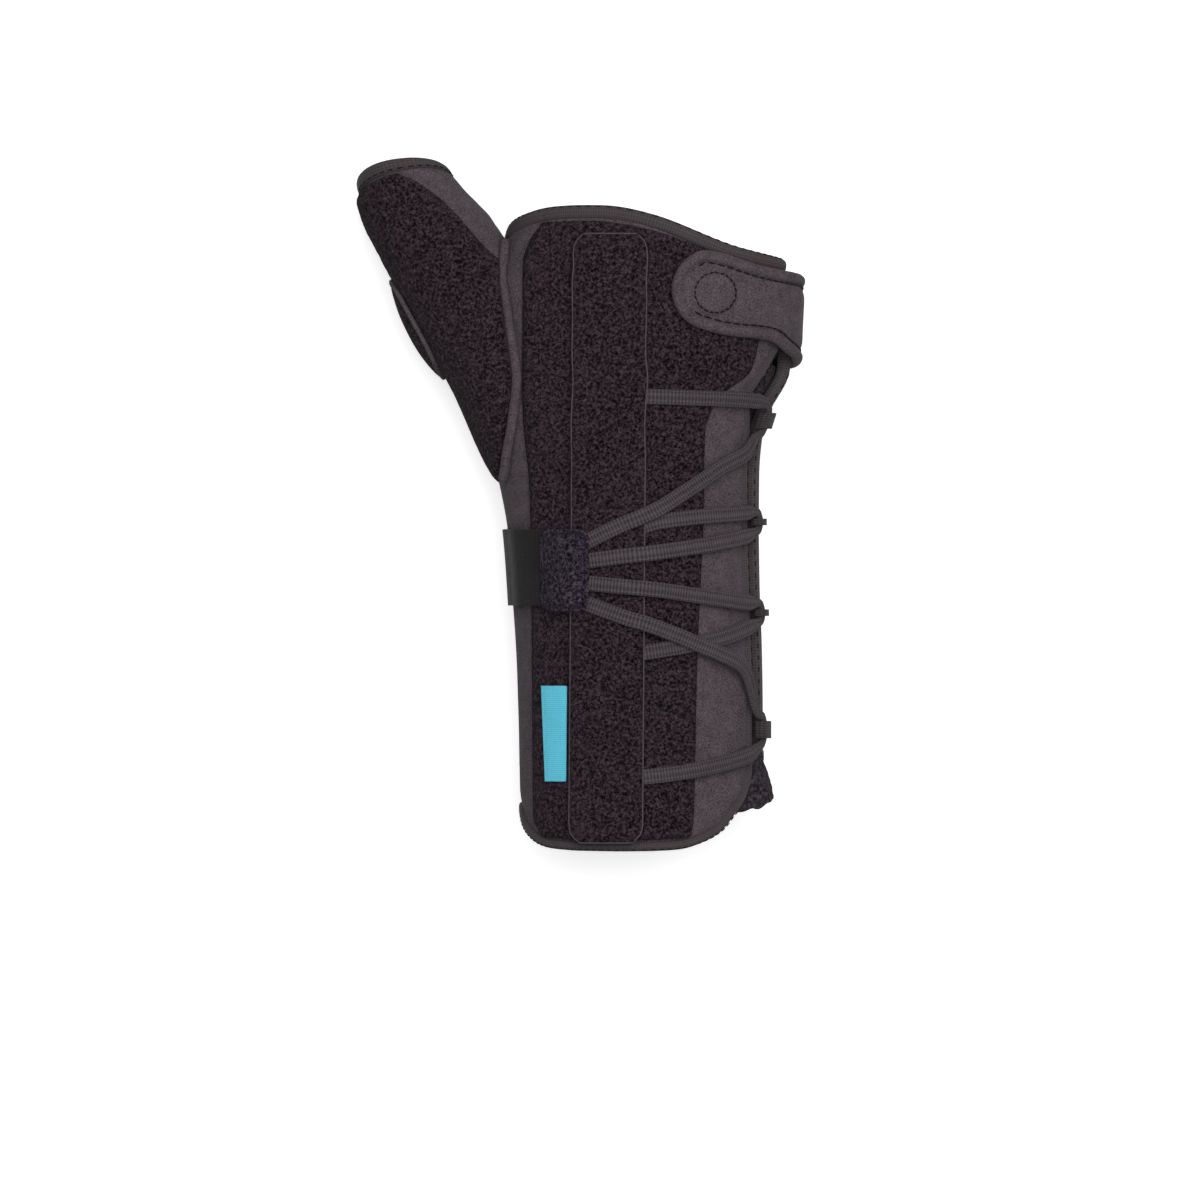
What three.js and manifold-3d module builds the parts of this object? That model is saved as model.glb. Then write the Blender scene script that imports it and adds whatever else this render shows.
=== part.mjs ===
// Thumb spica splint for a right wrist and thumb, in millimetres, +Z up.
// It lies on its palm side. X runs from the thumb side to the little-finger side, Y from the forearm
// hem to the knuckles, and Z from the palm side up to the back of the hand.
// Angles go round the wrist: 0 is the little-finger side, 90 the back, 180 the thumb side, 270 the palm.

import * as THREE from 'three';
import { mergeVertices } from 'three/addons/utils/BufferGeometryUtils.js';
import Module from 'manifold-3d';

const wasm = await Module();
wasm.setup();

// Driving sizes.
const WALL = 3.4; // padded laminate
const GAP = 0.3; // clearance between pieces that touch
const LAYER_GAP = 0.5; // and between curved layers, whose facets differ
const PILE = 1.2; // pile fabric
const POCKET = 2.2; // stay pocket, with the stay in it
const TAPE = 0.4; // how far the edge binding stands proud of the laminate
const EDGE_WIDTH = 3.0; // edge binding, seen from its face
const RIM_WIDTH = 4.4; // knuckle and thumb rim binding
const STRAP = 2.4; // hand strap
const WEBBING = 1.3;
const LACE_WIDTH = 4.8;
const LACE_THICK = 1.4;
const PIPING_RADIUS = 1.4;
const DORSAL_ROUNDNESS = 2.2; // exponent of the section above its widest level
const PALMAR_ROUNDNESS = 3.2; // and below it
const WIDEST_LEVEL = 0.48; // share of the depth at which the section is widest
const FLATTENED = 1.5; // depth pressed flat where the palm side rests
const TURN_RADIUS = 31; // arc radius of the section near the lacing gap

// Layers over the laminate's outer face, as heights above it.
const PILE_LOW = LAYER_GAP;
const PILE_HIGH = PILE_LOW + PILE;
const POCKET_LOW = PILE_HIGH + LAYER_GAP;
const POCKET_HIGH = POCKET_LOW + POCKET;
const LACE_LOW = PILE_HIGH + LAYER_GAP;
const LACE_HIGH = POCKET_HIGH + LAYER_GAP;

// Sections of the wrap, square to Y: its two sides, its top and its bottom.
const BODY = [
  { y: 0, thumbSide: -27.0, fingerSide: 48.0, top: 60.0, bottom: 0 },
  { y: 50, thumbSide: -28.0, fingerSide: 48.0, top: 58.0, bottom: 0 },
  { y: 76, thumbSide: -29.4, fingerSide: 47.3, top: 56.5, bottom: 0 },
  { y: 100, thumbSide: -31.2, fingerSide: 46.7, top: 55.0, bottom: 0 },
  { y: 116, thumbSide: -34.2, fingerSide: 46.8, top: 54.2, bottom: 0 },
  { y: 128, thumbSide: -37.4, fingerSide: 47.8, top: 53.6, bottom: 0 },
  { y: 138, thumbSide: -39.0, fingerSide: 50.7, top: 53.2, bottom: 0 },
  { y: 150, thumbSide: -39.5, fingerSide: 56.2, top: 52.6, bottom: 0.4 },
  { y: 160, thumbSide: -39.4, fingerSide: 56.6, top: 52.0, bottom: 1.2 },
  { y: 175, thumbSide: -38.0, fingerSide: 57.2, top: 51.0, bottom: 2.8 },
  { y: 190, thumbSide: -31.8, fingerSide: 56.9, top: 49.6, bottom: 4.4 },
  { y: 204, thumbSide: -29.0, fingerSide: 56.8, top: 48.4, bottom: 6.0 },
];

// The knuckle rim and the forearm hem, round the wrap.
const RIM = [
  { angle: 0, y: 181.4 },
  { angle: 20, y: 183.9 },
  { angle: 40, y: 185.9 },
  { angle: 55, y: 188.0 },
  { angle: 65, y: 190.3 },
  { angle: 75, y: 193.2 },
  { angle: 85, y: 196.2 },
  { angle: 95, y: 198.8 },
  { angle: 110, y: 200.4 },
  { angle: 130, y: 200.2 },
  { angle: 145, y: 198.8 },
  { angle: 160, y: 196.8 },
  { angle: 180, y: 193.2 },
  { angle: 200, y: 190.0 },
  { angle: 225, y: 185.0 },
  { angle: 270, y: 177.0 },
  { angle: 315, y: 174.0 },
  { angle: 345, y: 177.0 },
  { angle: 360, y: 181.4 },
  { angle: 380, y: 183.9 },
];
const HEM = [
  { angle: 22, y: 33.0 },
  { angle: 26, y: 27.5 },
  { angle: 29, y: 20.8 },
  { angle: 33, y: 16.8 },
  { angle: 38, y: 13.4 },
  { angle: 44, y: 10.5 },
  { angle: 50, y: 6.9 },
  { angle: 59, y: 3.8 },
  { angle: 73, y: 1.1 },
  { angle: 93, y: 0.4 },
  { angle: 121, y: 0.6 },
  { angle: 132, y: 1.0 },
  { angle: 143, y: 1.8 },
  { angle: 156, y: 4.0 },
  { angle: 164, y: 6.8 },
  { angle: 180, y: 12.5 },
  { angle: 200, y: 11.5 },
  { angle: 215, y: 9.5 },
  { angle: 240, y: 6.5 },
  { angle: 270, y: 5.5 },
  { angle: 285, y: 7.5 },
  { angle: 300, y: 11.5 },
  { angle: 315, y: 17.0 },
  { angle: 330, y: 21.5 },
  { angle: 340, y: 24.0 },
  { angle: 357, y: 27.5 },
  { angle: 368, y: 30.0 },
  { angle: 378, y: 33.0 },
];

// The two bound edges of the lacing gap, as angles along the forearm.
const LACING_EDGE = [
  { y: 0, back: 25, palm: 17 },
  { y: 122, back: 25, palm: 17 },
  { y: 136, back: 29, palm: 11 },
  { y: 146, back: 35, palm: 6 },
  { y: 153, back: 31, palm: 3 },
  { y: 159, back: 20, palm: 1 },
  { y: 168, back: 14, palm: 0 },
  { y: 190, back: 12, palm: 0 },
];

// The pile field on the back: its two sides.
const PILE_FIELD = [
  { y: 4, left: -20.5, right: 25.5 },
  { y: 9, left: -23.2, right: 26.4 },
  { y: 62, left: -23.6, right: 27.6 },
  { y: 109, left: -24.2, right: 29.6 },
  { y: 136, left: -26.4, right: 30.0 },
  { y: 143, left: -26.5, right: 32.0 },
  { y: 150, left: -26.5, right: 36.6 },
  { y: 157, left: -26.5, right: 44.0 },
  { y: 164, left: -26.5, right: 46.0 },
  { y: 182, left: -26.4, right: 48.0 },
  { y: 189, left: -24.2, right: 47.6 },
  { y: 194, left: -20.3, right: 46.0 },
];
const POCKET_FIELD = {
  low: 2.9,
  high: 191.6,
  lowLeft: -12.7,
  lowRight: 10.8,
  highLeft: -11.2,
  highRight: 12.3,
};
const POCKET_CORNER = 5.6;

// The thumb tube, as slices from its rim (share 0) to its seam on the wrap (share 1) and on inside it.
// outer is the side away from the hand and web the side next to it, both seen from above.
const THUMB = [
  { share: 0, outerX: -78.0, outerY: 207.8, webX: -49.6, webY: 210.7, middle: 19.5, depth: 13.5, lean: 0.46 },
  { share: 0.2, outerX: -74.8, outerY: 196.3, webX: -45.1, webY: 205.9, middle: 21, depth: 14.2, lean: 0.3 },
  { share: 0.4, outerX: -68.8, outerY: 184.2, webX: -41.3, webY: 202.0, middle: 22.5, depth: 15, lean: 0.22 },
  { share: 0.6, outerX: -59.9, outerY: 167.3, webX: -37.5, webY: 198.2, middle: 24, depth: 16.5, lean: 0.14 },
  { share: 0.8, outerX: -48.4, outerY: 145.6, webX: -34.5, webY: 194.1, middle: 25.5, depth: 18, lean: 0.07 },
  { share: 1, outerX: -33.2, outerY: 116.0, webX: -31.4, webY: 189.6, middle: 27, depth: 18.5, lean: 0 },
  { share: 1.3, outerX: -16, outerY: 114, webX: -16, webY: 186, middle: 27, depth: 16.5, lean: 0 },
];
const THUMB_ROUNDNESS = 2.2;
const THUMB_PILE = [
  { share: 0.05, web: 105, outer: 206 },
  { share: 0.2, web: 78, outer: 210 },
  { share: 0.4, web: 63, outer: 214 },
  { share: 0.6, web: 56, outer: 216 },
  { share: 0.8, web: 50, outer: 214 },
  { share: 1, web: 37, outer: 200 },
];
// The seam of the thumb tube on the back of the wrap.
const SEAM = [
  { x: -32.0, y: 189.4 },
  { x: -32.5, y: 183.5 },
  { x: -31.9, y: 171.7 },
  { x: -29.8, y: 158.0 },
  { x: -28.3, y: 145.0 },
  { x: -29.8, y: 132.0 },
  { x: -31.6, y: 121.8 },
  { x: -32.6, y: 115.3 },
];

// The hand strap, and the pull tab with the end piece that takes the laces.
const STRAP_END = { x: 32.5, y: 174, radius: 12.6, blunt: 2 };
const STRAP_SIDES = [
  { angle: -42, low: 149.0, high: 173.0 },
  { angle: -12, low: 150.4, high: 176.0 },
  { angle: 0, low: 151.5, high: 176.9 },
  { angle: 12, low: 152.7, high: 177.4 },
  { angle: 25, low: 154.7, high: 178.4 },
  { angle: 30, low: 156.5, high: 179.1 },
  { angle: 36, low: 158.0, high: 180.0 },
  { angle: 46, low: 159.0, high: 181.5 },
  { angle: 54, low: 159.4, high: 183.3 },
  { angle: 62, low: 160.3, high: 185.3 },
  { angle: 66, low: 161.0, high: 186.2 },
];
const PATCH = { x: 32.9, y: 173.1, radius: 7.2, height: 0.8 };
const TAB = { low: 76.4, high: 100, start: -21.4, underAngle: 216 };
const TAB_END = { left: -21.1, right: -5.9, low: 74.6, high: 100, thick: 2.6 };
const LABEL = { left: -20.8, right: -13.1, low: 22.0, high: 51.6, thick: 0.7 };

// Laces, seen from above: out runs from the end piece to the guide, back from the pocket to the guide.
const LACES = [
  {
    out: [[-7.2, 95.0], [15.5, 106.6], [34.1, 118.8], [42.2, 123.6]],
    back: [[9, 141.1], [28.5, 140.5], [42.5, 139.9]],
    guide: 133.6,
    turn: 5.6,
  },
  {
    out: [[-7.2, 89.9], [11.2, 92.4], [28.5, 94.9], [41.5, 97.6]],
    back: [[9, 100.2], [15.9, 102.3], [28.5, 103.9], [41.5, 105.0]],
    guide: 102.3,
    turn: 3.1,
  },
  {
    out: [[-7.2, 83.6], [11.2, 81.7], [28.5, 79.3], [41.5, 77.3]],
    back: [[9, 61.6], [27.1, 64.6], [35.0, 66.4], [42.5, 69.4]],
    guide: 74.2,
    turn: 3.1,
  },
  {
    out: [[-7.2, 77.9], [11.2, 70.9], [26.0, 64.8], [41.5, 56.0]],
    back: [[9, 23.2], [25.7, 25.4], [42.5, 29.8]],
    guide: 38.0,
    turn: 6.2,
  },
];
const CROSSING = { lace: 3, x: 30, level: 8, clear: 14 }; // where the last lace passes over the third
const GUIDE_APEX = 20;
const GUIDE = { tail: 9, foot: 13.4, shoulder: 16.4, thick: 0.7, foldShare: 0.22 }; // foldShare: of a turn
const LACE_TURN = TAPE + LAYER_GAP + GAP + GUIDE.thick; // how high over the wrap a lace turns

const degrees = THREE.MathUtils.degToRad;
const mix = THREE.MathUtils.lerp;
const ramp = THREE.MathUtils.smoothstep;

// Reads a column of a table at a place between its rows, on a curve that never overshoots them.
function along(table, column, key, place) {
  const last = table.length - 1;
  if (place <= table[0][key]) return table[0][column];
  if (place >= table[last][key]) return table[last][column];
  let row = 0;
  while (place > table[row + 1][key]) row += 1;
  const rise = (k) => (table[k + 1][column] - table[k][column]) / (table[k + 1][key] - table[k][key]);
  const slope = (k) => {
    if (k === 0) return rise(0);
    if (k === last) return rise(last - 1);
    const product = rise(k - 1) * rise(k);
    return product <= 0 ? 0 : (2 * product) / (rise(k - 1) + rise(k));
  };
  const span = table[row + 1][key] - table[row][key];
  const t = (place - table[row][key]) / span;
  const start = table[row][column];
  const end = table[row + 1][column];
  const bend = t * (1 - t);
  return mix(start, end, t * t * (3 - 2 * t)) + bend * span * ((1 - t) * slope(row) - t * slope(row + 1));
}

const signedPower = (value, power) => Math.sign(value) * Math.abs(value) ** power;

// A point on the wrap's outer face, or lift above it, at an angle in degrees.
function wrap(angle, y, lift = 0) {
  const thumbSide = along(BODY, 'thumbSide', 'y', y);
  const fingerSide = along(BODY, 'fingerSide', 'y', y);
  const top = along(BODY, 'top', 'y', y);
  const bottom = along(BODY, 'bottom', 'y', y);
  const level = mix(bottom, top, WIDEST_LEVEL);
  const cosine = Math.cos(degrees(angle));
  const sine = Math.sin(degrees(angle));
  const power = 2 / (sine >= 0 ? DORSAL_ROUNDNESS : PALMAR_ROUNDNESS);
  const half = (fingerSide - thumbSide) / 2 + lift;
  const rise = (sine >= 0 ? top - level : level - bottom + FLATTENED) + lift;
  const x = (thumbSide + fingerSide) / 2 + half * signedPower(cosine, power);
  const z = level + rise * signedPower(sine, power);
  return new THREE.Vector3(x, y, Math.max(z, bottom + Math.max(0, -lift)));
}

// The angle on the back at which the wrap, seen from above, lies at x.
function angleAt(x, y, lift = 0) {
  const thumbSide = along(BODY, 'thumbSide', 'y', y);
  const fingerSide = along(BODY, 'fingerSide', 'y', y);
  const ratio = (x - (thumbSide + fingerSide) / 2) / ((fingerSide - thumbSide) / 2 + lift);
  const cosine = signedPower(THREE.MathUtils.clamp(ratio, -1, 1), DORSAL_ROUNDNESS / 2);
  return THREE.MathUtils.radToDeg(Math.acos(cosine));
}

const onBack = (x, y, lift) => wrap(angleAt(x, y, lift), y, lift);

// A point on the thumb tube's outer face, or lift above it. Angle 0 is its web side and 90 its back.
function thumb(angle, share, lift = 0) {
  const read = (column) => along(THUMB, column, 'share', share);
  const outer = new THREE.Vector2(read('outerX'), read('outerY'));
  const web = new THREE.Vector2(read('webX'), read('webY'));
  const across = web.clone().sub(outer).normalize();
  const half = web.distanceTo(outer) / 2 + lift;
  const side = half * signedPower(Math.cos(degrees(angle)), 2 / THUMB_ROUNDNESS);
  const height = (read('depth') + lift) * signedPower(Math.sin(degrees(angle)), 2 / THUMB_ROUNDNESS);
  const shift = height * read('lean');
  const x = (outer.x + web.x) / 2 + across.x * side - across.y * shift;
  const y = (outer.y + web.y) / 2 + across.y * side + across.x * shift;
  return new THREE.Vector3(x, y, read('middle') + height);
}

// Turns a mesh's faces outward where its mapping turned them inward.
function faceOut(geometry) {
  const corners = geometry.attributes.position;
  const index = geometry.index.array;
  const corner = (k) => new THREE.Vector3().fromBufferAttribute(corners, index[k]);
  let volume = 0;
  for (let k = 0; k < index.length; k += 3) volume += corner(k).dot(corner(k + 1).cross(corner(k + 2)));
  if (volume > 0) return geometry;
  for (let k = 0; k < index.length; k += 3) [index[k], index[k + 1]] = [index[k + 1], index[k]];
  return geometry;
}

// Moves every corner of a geometry to where place puts it, and welds the corners that meet.
function bend(geometry, place) {
  const corners = geometry.attributes.position;
  for (let k = 0; k < corners.count; k += 1) {
    const moved = place(new THREE.Vector3().fromBufferAttribute(corners, k));
    corners.setXYZ(k, moved.x, moved.y, moved.z);
  }
  geometry.deleteAttribute('normal');
  geometry.deleteAttribute('uv');
  return faceOut(mergeVertices(geometry, 1e-3));
}

// A plate bent onto a form: place(u, v, w) has u and v along it and w through its thickness, 0 to 1.
function plate(columns, rows, place) {
  const box = new THREE.BoxGeometry(1, 1, 1, columns, rows, 1);
  return bend(box, (corner) => place(corner.x + 0.5, corner.y + 0.5, corner.z + 0.5));
}

// A sleeve bent onto a form: place(angle, v, w) goes round at angle, along at v and through at w.
function sleeve(segments, rows, place) {
  const profile = [];
  for (let row = 0; row <= rows; row += 1) profile.push(new THREE.Vector2(2, row / rows));
  for (let row = rows; row >= 0; row -= 1) profile.push(new THREE.Vector2(1, row / rows));
  profile.push(profile[0].clone());
  const lathe = new THREE.LatheGeometry(profile, segments);
  return bend(lathe, ({ x, y, z }) => {
    const angle = THREE.MathUtils.radToDeg(Math.atan2(z, x));
    return place(angle, y, Math.hypot(x, z) - 1);
  });
}

// A closed core bent onto a form, with flat ends: place(angle, v) gives its skin.
function core(segments, rows, place) {
  const rod = new THREE.CylinderGeometry(1, 1, 1, segments, rows);
  const middles = [0, 1].map((v) => {
    const middle = new THREE.Vector3();
    for (let k = 0; k < segments; k += 1) middle.add(place((k * 360) / segments, v));
    return middle.divideScalar(segments);
  });
  return bend(rod, ({ x, y, z }) => {
    if (Math.hypot(x, z) < 0.5) return middles[y > 0 ? 1 : 0];
    return place(THREE.MathUtils.radToDeg(Math.atan2(z, x)), y + 0.5);
  });
}

// The frame of a path on a form: its point, the way across it and the way out.
function frameOn(form, path, t) {
  const small = 1e-3;
  const spot = (at) => {
    const here = path(at);
    return form(here.angle, here.along, here.lift);
  };
  const point = spot(t);
  const forward = spot(Math.min(t + small, 1)).sub(spot(Math.max(t - small, 0))).normalize();
  const { angle, along: y, lift } = path(t);
  const round = form(angle + 0.5, y, lift).sub(form(angle - 0.5, y, lift));
  const length = form(angle, y + small, lift).sub(form(angle, y - small, lift));
  const out = length.cross(round).normalize();
  const across = forward.clone().cross(out).normalize();
  return { point, across, out: across.clone().cross(forward).normalize() };
}

// A ribbon along a path on a form, with its underside on the path.
function ribbon(form, path, steps, width, thickness) {
  return plate(steps, 1, (u, v, w) => {
    const { point, across, out } = frameOn(form, path, u);
    return point.addScaledVector(across, (v - 0.5) * width(u)).addScaledVector(out, w * thickness);
  });
}

// A bead along a path on a form, centred on it: binding tape over an edge, or piping on a seam.
function bead(form, path, steps, sides, width, thickness) {
  const rod = new THREE.CylinderGeometry(1, 1, 1, sides, steps);
  return bend(rod, ({ x, y, z }) => {
    const { point, across, out } = frameOn(form, path, y + 0.5);
    point.addScaledVector(across, (x * width) / 2).addScaledVector(out, (z * thickness) / 2);
    return point.setZ(Math.max(point.z, 0));
  });
}

function toSolid(geometry) {
  const vertProperties = new Float32Array(geometry.attributes.position.array);
  const triVerts = new Uint32Array(geometry.index.array);
  return new wasm.Manifold(new wasm.Mesh({ numProp: 3, vertProperties, triVerts }));
}

// Cuts the tools from a body, and keeps its main piece without the crumbs that a cut can leave.
function cut(geometry, ...tools) {
  let solid = toSolid(geometry);
  for (const tool of tools) solid = solid.subtract(toSolid(tool));
  const mesh = solid.decompose().sort((a, b) => b.volume() - a.volume())[0].getMesh();
  const result = new THREE.BufferGeometry();
  result.setAttribute('position', new THREE.BufferAttribute(new Float32Array(mesh.vertProperties), 3));
  result.setIndex(new THREE.BufferAttribute(new Uint32Array(mesh.triVerts), 1));
  return mergeVertices(result, 1e-3);
}

// Cloth colours and finishes.
const finish = (color, roughness) => new THREE.MeshStandardMaterial({ color, roughness, metalness: 0 });
const pileCloth = finish(0x1e1a1c, 0.95);
const smoothCloth = finish(0x464246, 0.85);
const bindingTape = finish(0x2f2d2e, 0.8);
const laceKnit = finish(0x484446, 0.85);
const blackWebbing = finish(0x262424, 0.75);
const hookPatch = finish(0x2a282c, 0.9);
const blueWeave = finish(0x5fbed7, 0.7);

const splint = new THREE.Group();

function add(name, geometry, material) {
  const mesh = new THREE.Mesh(geometry, material);
  mesh.name = name;
  splint.add(mesh);
}

// The wrap: one padded laminate, from the palm-side lacing edge round the palm to the back's edge.
// Its outline runs along the middle of the binding tape, and the tape's channel is cut from it.
const EDGE_INSET = THREE.MathUtils.radToDeg(EDGE_WIDTH / 2 / TURN_RADIUS);
const CROWDING = 0.45; // how much closer the stations stand at the lacing gap than at the palm
const crowd = (u) => u - (CROWDING * Math.sin(2 * Math.PI * u)) / (2 * Math.PI);

const NOMINAL_LOW = 6;
const NOMINAL_HIGH = 188;

// The place on the wrap at shares u round it and v along it.
function wrapSpot(u, v, lift) {
  const nominal = mix(NOMINAL_LOW, NOMINAL_HIGH, v);
  const palm = 360 + along(LACING_EDGE, 'palm', 'y', nominal) - EDGE_INSET;
  const back = along(LACING_EDGE, 'back', 'y', nominal) + EDGE_INSET;
  const angle = mix(palm, back, crowd(u));
  const low = along(HEM, 'y', 'angle', angle) + EDGE_WIDTH / 2;
  const high = along(RIM, 'y', 'angle', angle) - RIM_WIDTH / 2;
  return { angle, along: mix(low, high, v), lift };
}

// Binding tape over the wrap's edges: the knuckle rim, and one run down, round the hem and up.
const EDGE_TOP = 0.965;
const EDGE_STATIONS = 46;
const SIDE_STATIONS = 10;
const edgePoints = [];
for (let k = 0; k <= EDGE_STATIONS; k += 1) {
  const fromEnd = Math.min(k, EDGE_STATIONS - k);
  const side = k < EDGE_STATIONS / 2 ? 0 : 1;
  const round = (k - SIDE_STATIONS) / (EDGE_STATIONS - 2 * SIDE_STATIONS);
  const u = fromEnd < SIDE_STATIONS ? side : round;
  const v = EDGE_TOP * Math.max(0, 1 - fromEnd / SIDE_STATIONS);
  const spot = wrapSpot(u, v, 0);
  edgePoints.push(new THREE.Vector3(spot.angle, spot.along, 0));
}
const edgeCurve = new THREE.CatmullRomCurve3(edgePoints);

function edgeTape(spare) {
  const route = (t) => {
    const spot = edgeCurve.getPoint(t);
    return { angle: spot.x, along: spot.y, lift: -WALL / 2 };
  };
  return bead(wrap, route, EDGE_STATIONS, 6, EDGE_WIDTH + spare, WALL + 2 * TAPE + spare);
}

function rimTape(spare) {
  const route = (t) => wrapSpot(t, 1, -WALL / 2);
  return bead(wrap, route, 26, 6, RIM_WIDTH + spare, WALL + 2 * TAPE + spare);
}

const wrapPlate = (sunk, raised) => plate(34, 14, (u, v, w) => {
  const spot = wrapSpot(u, v, mix(-WALL - sunk, raised, w));
  return wrap(spot.angle, spot.along, spot.lift);
});
const thumbHollow = core(28, 14, (angle, v) => thumb(angle, mix(-0.2, 1.3, v), -WALL));
add('wrap_laminate', cut(wrapPlate(0, 0), thumbHollow, edgeTape(2 * GAP), rimTape(2 * GAP)), smoothCloth);
add('rim_binding', rimTape(0), bindingTape);
add('edge_binding', edgeTape(0), bindingTape);

// The tongue inside the lacing gap, which swells out of the gap at the forearm hem.
const TONGUE = {
  low: 13.5,
  high: 152,
  back: 46,
  palm: -6,
  thick: 2.2,
  swell: 8.2,
  swellTop: 44,
  swellAngle: 8,
};
const tonguePlate = plate(5, 9, (u, v, w) => {
  const y = mix(TONGUE.low, TONGUE.high, v ** 1.4);
  const angle = mix(TONGUE.palm, TONGUE.back, u);
  const crown = Math.cos(degrees(THREE.MathUtils.clamp((angle - TONGUE.swellAngle) * 3.2, -90, 90)));
  const swell = TONGUE.swell * (1 - ramp(y, TONGUE.low + 2, TONGUE.swellTop)) * crown;
  const lift = swell - WALL - 2 * LAYER_GAP - TONGUE.thick * (1 - w);
  return wrap(angle, y, lift);
});
add('tongue', cut(tonguePlate, wrapPlate(GAP, GAP), edgeTape(2 * GAP)), pileCloth);

// Pile field and stay pocket on the back.
const pileField = plate(9, 15, (u, v, w) => {
  const y = mix(4, 194, v);
  const x = mix(along(PILE_FIELD, 'left', 'y', y), along(PILE_FIELD, 'right', 'y', y), u);
  const lift = mix(PILE_LOW, PILE_HIGH, w);
  const angle = angleAt(x, y, lift);
  const low = along(HEM, 'y', 'angle', angle) + EDGE_WIDTH + 2 * GAP;
  const high = along(RIM, 'y', 'angle', angle) - RIM_WIDTH - 2 * GAP;
  return onBack(x, mix(low, high, v), lift);
});
add('pile_field', pileField, pileCloth);

// Half of a round-cornered strip's width, as a share, near its ends.
function cornerShare(distance, radius, halfWidth) {
  if (distance >= radius) return 1;
  return 1 - (radius - Math.sqrt(radius ** 2 - (radius - distance) ** 2)) / halfWidth;
}

const POCKET_ROWS = [0, 1.4, 5.6, 24, 48, 72, 96, 118, 140, 160, 183.1, 187.3, 188.7];
const stayPocket = (spare) => plate(5, POCKET_ROWS.length - 1, (u, v, w) => {
  const rise = POCKET_ROWS[Math.round(v * (POCKET_ROWS.length - 1))];
  const y = POCKET_FIELD.low + rise;
  const share = rise / (POCKET_FIELD.high - POCKET_FIELD.low);
  const left = mix(POCKET_FIELD.lowLeft, POCKET_FIELD.highLeft, share);
  const right = mix(POCKET_FIELD.lowRight, POCKET_FIELD.highRight, share);
  const end = Math.min(rise, POCKET_FIELD.high - y);
  const half = ((right - left) / 2) * cornerShare(end, POCKET_CORNER, (right - left) / 2);
  const x = (left + right) / 2 + (u * 2 - 1) * (half + spare);
  return onBack(x, y, mix(POCKET_LOW - spare, POCKET_HIGH + spare, w));
});
add('stay_pocket', stayPocket(0), pileCloth);

// The thumb tube, trimmed where it meets the wrap, and cut along its seam on the back.
const wrapCore = core(44, 16, (angle, v) => wrap(angle, mix(90, 204, v), TAPE + GAP));
const seamClearance = PIPING_RADIUS + GAP;
const seamShape = new THREE.Shape();
seamShape.moveTo(20, SEAM[0].y + 4);
seamShape.lineTo(SEAM[0].x - seamClearance, SEAM[0].y + 4);
for (const { x, y } of SEAM) seamShape.lineTo(x - seamClearance, y);
seamShape.lineTo(SEAM.at(-1).x - seamClearance, SEAM.at(-1).y - 8);
seamShape.lineTo(20, SEAM.at(-1).y - 8);
const SEAM_CUT_LOW = 31;
const seamCut = bend(
  new THREE.ExtrudeGeometry(seamShape, { depth: 40, bevelEnabled: false }),
  (corner) => corner.setZ(corner.z + SEAM_CUT_LOW),
);
const RIM_SHARE = 0.085;
const TUBE_ROUND = 26;
const TUBE_ROWS = 7;
const tubeShare = (v) => mix(RIM_SHARE, 1.15, v);
const thumbTube = sleeve(TUBE_ROUND, TUBE_ROWS, (angle, v, w) => {
  const lift = mix(-WALL, 0, w);
  return thumb(angle, tubeShare(v), lift);
});
const tubeCore = core(TUBE_ROUND, TUBE_ROWS, (angle, v) => thumb(angle, tubeShare(v), PILE_LOW));
add('thumb_tube', cut(thumbTube, wrapCore, seamCut), smoothCloth);

const thumbBinding = sleeve(26, 1, (angle, v, w) => {
  const lift = mix(-WALL - TAPE, TAPE, w);
  return thumb(angle, mix(0, RIM_SHARE - 0.012, v), lift);
});
add('thumb_binding', thumbBinding, bindingTape);

const thumbPile = plate(11, 8, (u, v, w) => {
  const share = mix(RIM_SHARE + 0.01, 1.1, v);
  const web = along(THUMB_PILE, 'web', 'share', share);
  const outer = along(THUMB_PILE, 'outer', 'share', share);
  return thumb(mix(web, outer, u), share, mix(-PILE_LOW, PILE_HIGH, w));
});
add('thumb_pile', cut(thumbPile, tubeCore, wrapCore, seamCut), pileCloth);

const THUMB_STRAP = { from: 0.47, to: 0.77, back: 166, palm: 258, thin: 1.0, thick: 1.8, bulge: 2.1 };
const thumbStrap = plate(6, 8, (u, v, w) => {
  const share = mix(THUMB_STRAP.from, THUMB_STRAP.to, v);
  const round = 1 - 16 * (v - 0.5) ** 4;
  const back = mix(THUMB_STRAP.back + 26, THUMB_STRAP.back, Math.max(0, round));
  const bulge = THUMB_STRAP.bulge * Math.sin(Math.PI * v ** 1.4);
  const thick = mix(THUMB_STRAP.thin, THUMB_STRAP.thick, ramp(v, 0, 0.35));
  const lift = PILE_HIGH + LAYER_GAP + GAP + bulge + w * thick;
  return thumb(mix(back, THUMB_STRAP.palm, u), share, lift);
});
add('thumb_strap', thumbStrap, bindingTape);

const seamCurve = new THREE.CatmullRomCurve3(SEAM.map(({ x, y }) => new THREE.Vector3(x, y, 0)));
const thumbPiping = bead(wrap, (t) => {
  const { x, y } = seamCurve.getPoint(t);
  const lift = PIPING_RADIUS + 2 * GAP;
  return { angle: angleAt(x, y, lift), along: y, lift };
}, 18, 6, 2 * PIPING_RADIUS, 2 * PIPING_RADIUS);
add('thumb_piping', thumbPiping, bindingTape);

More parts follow.
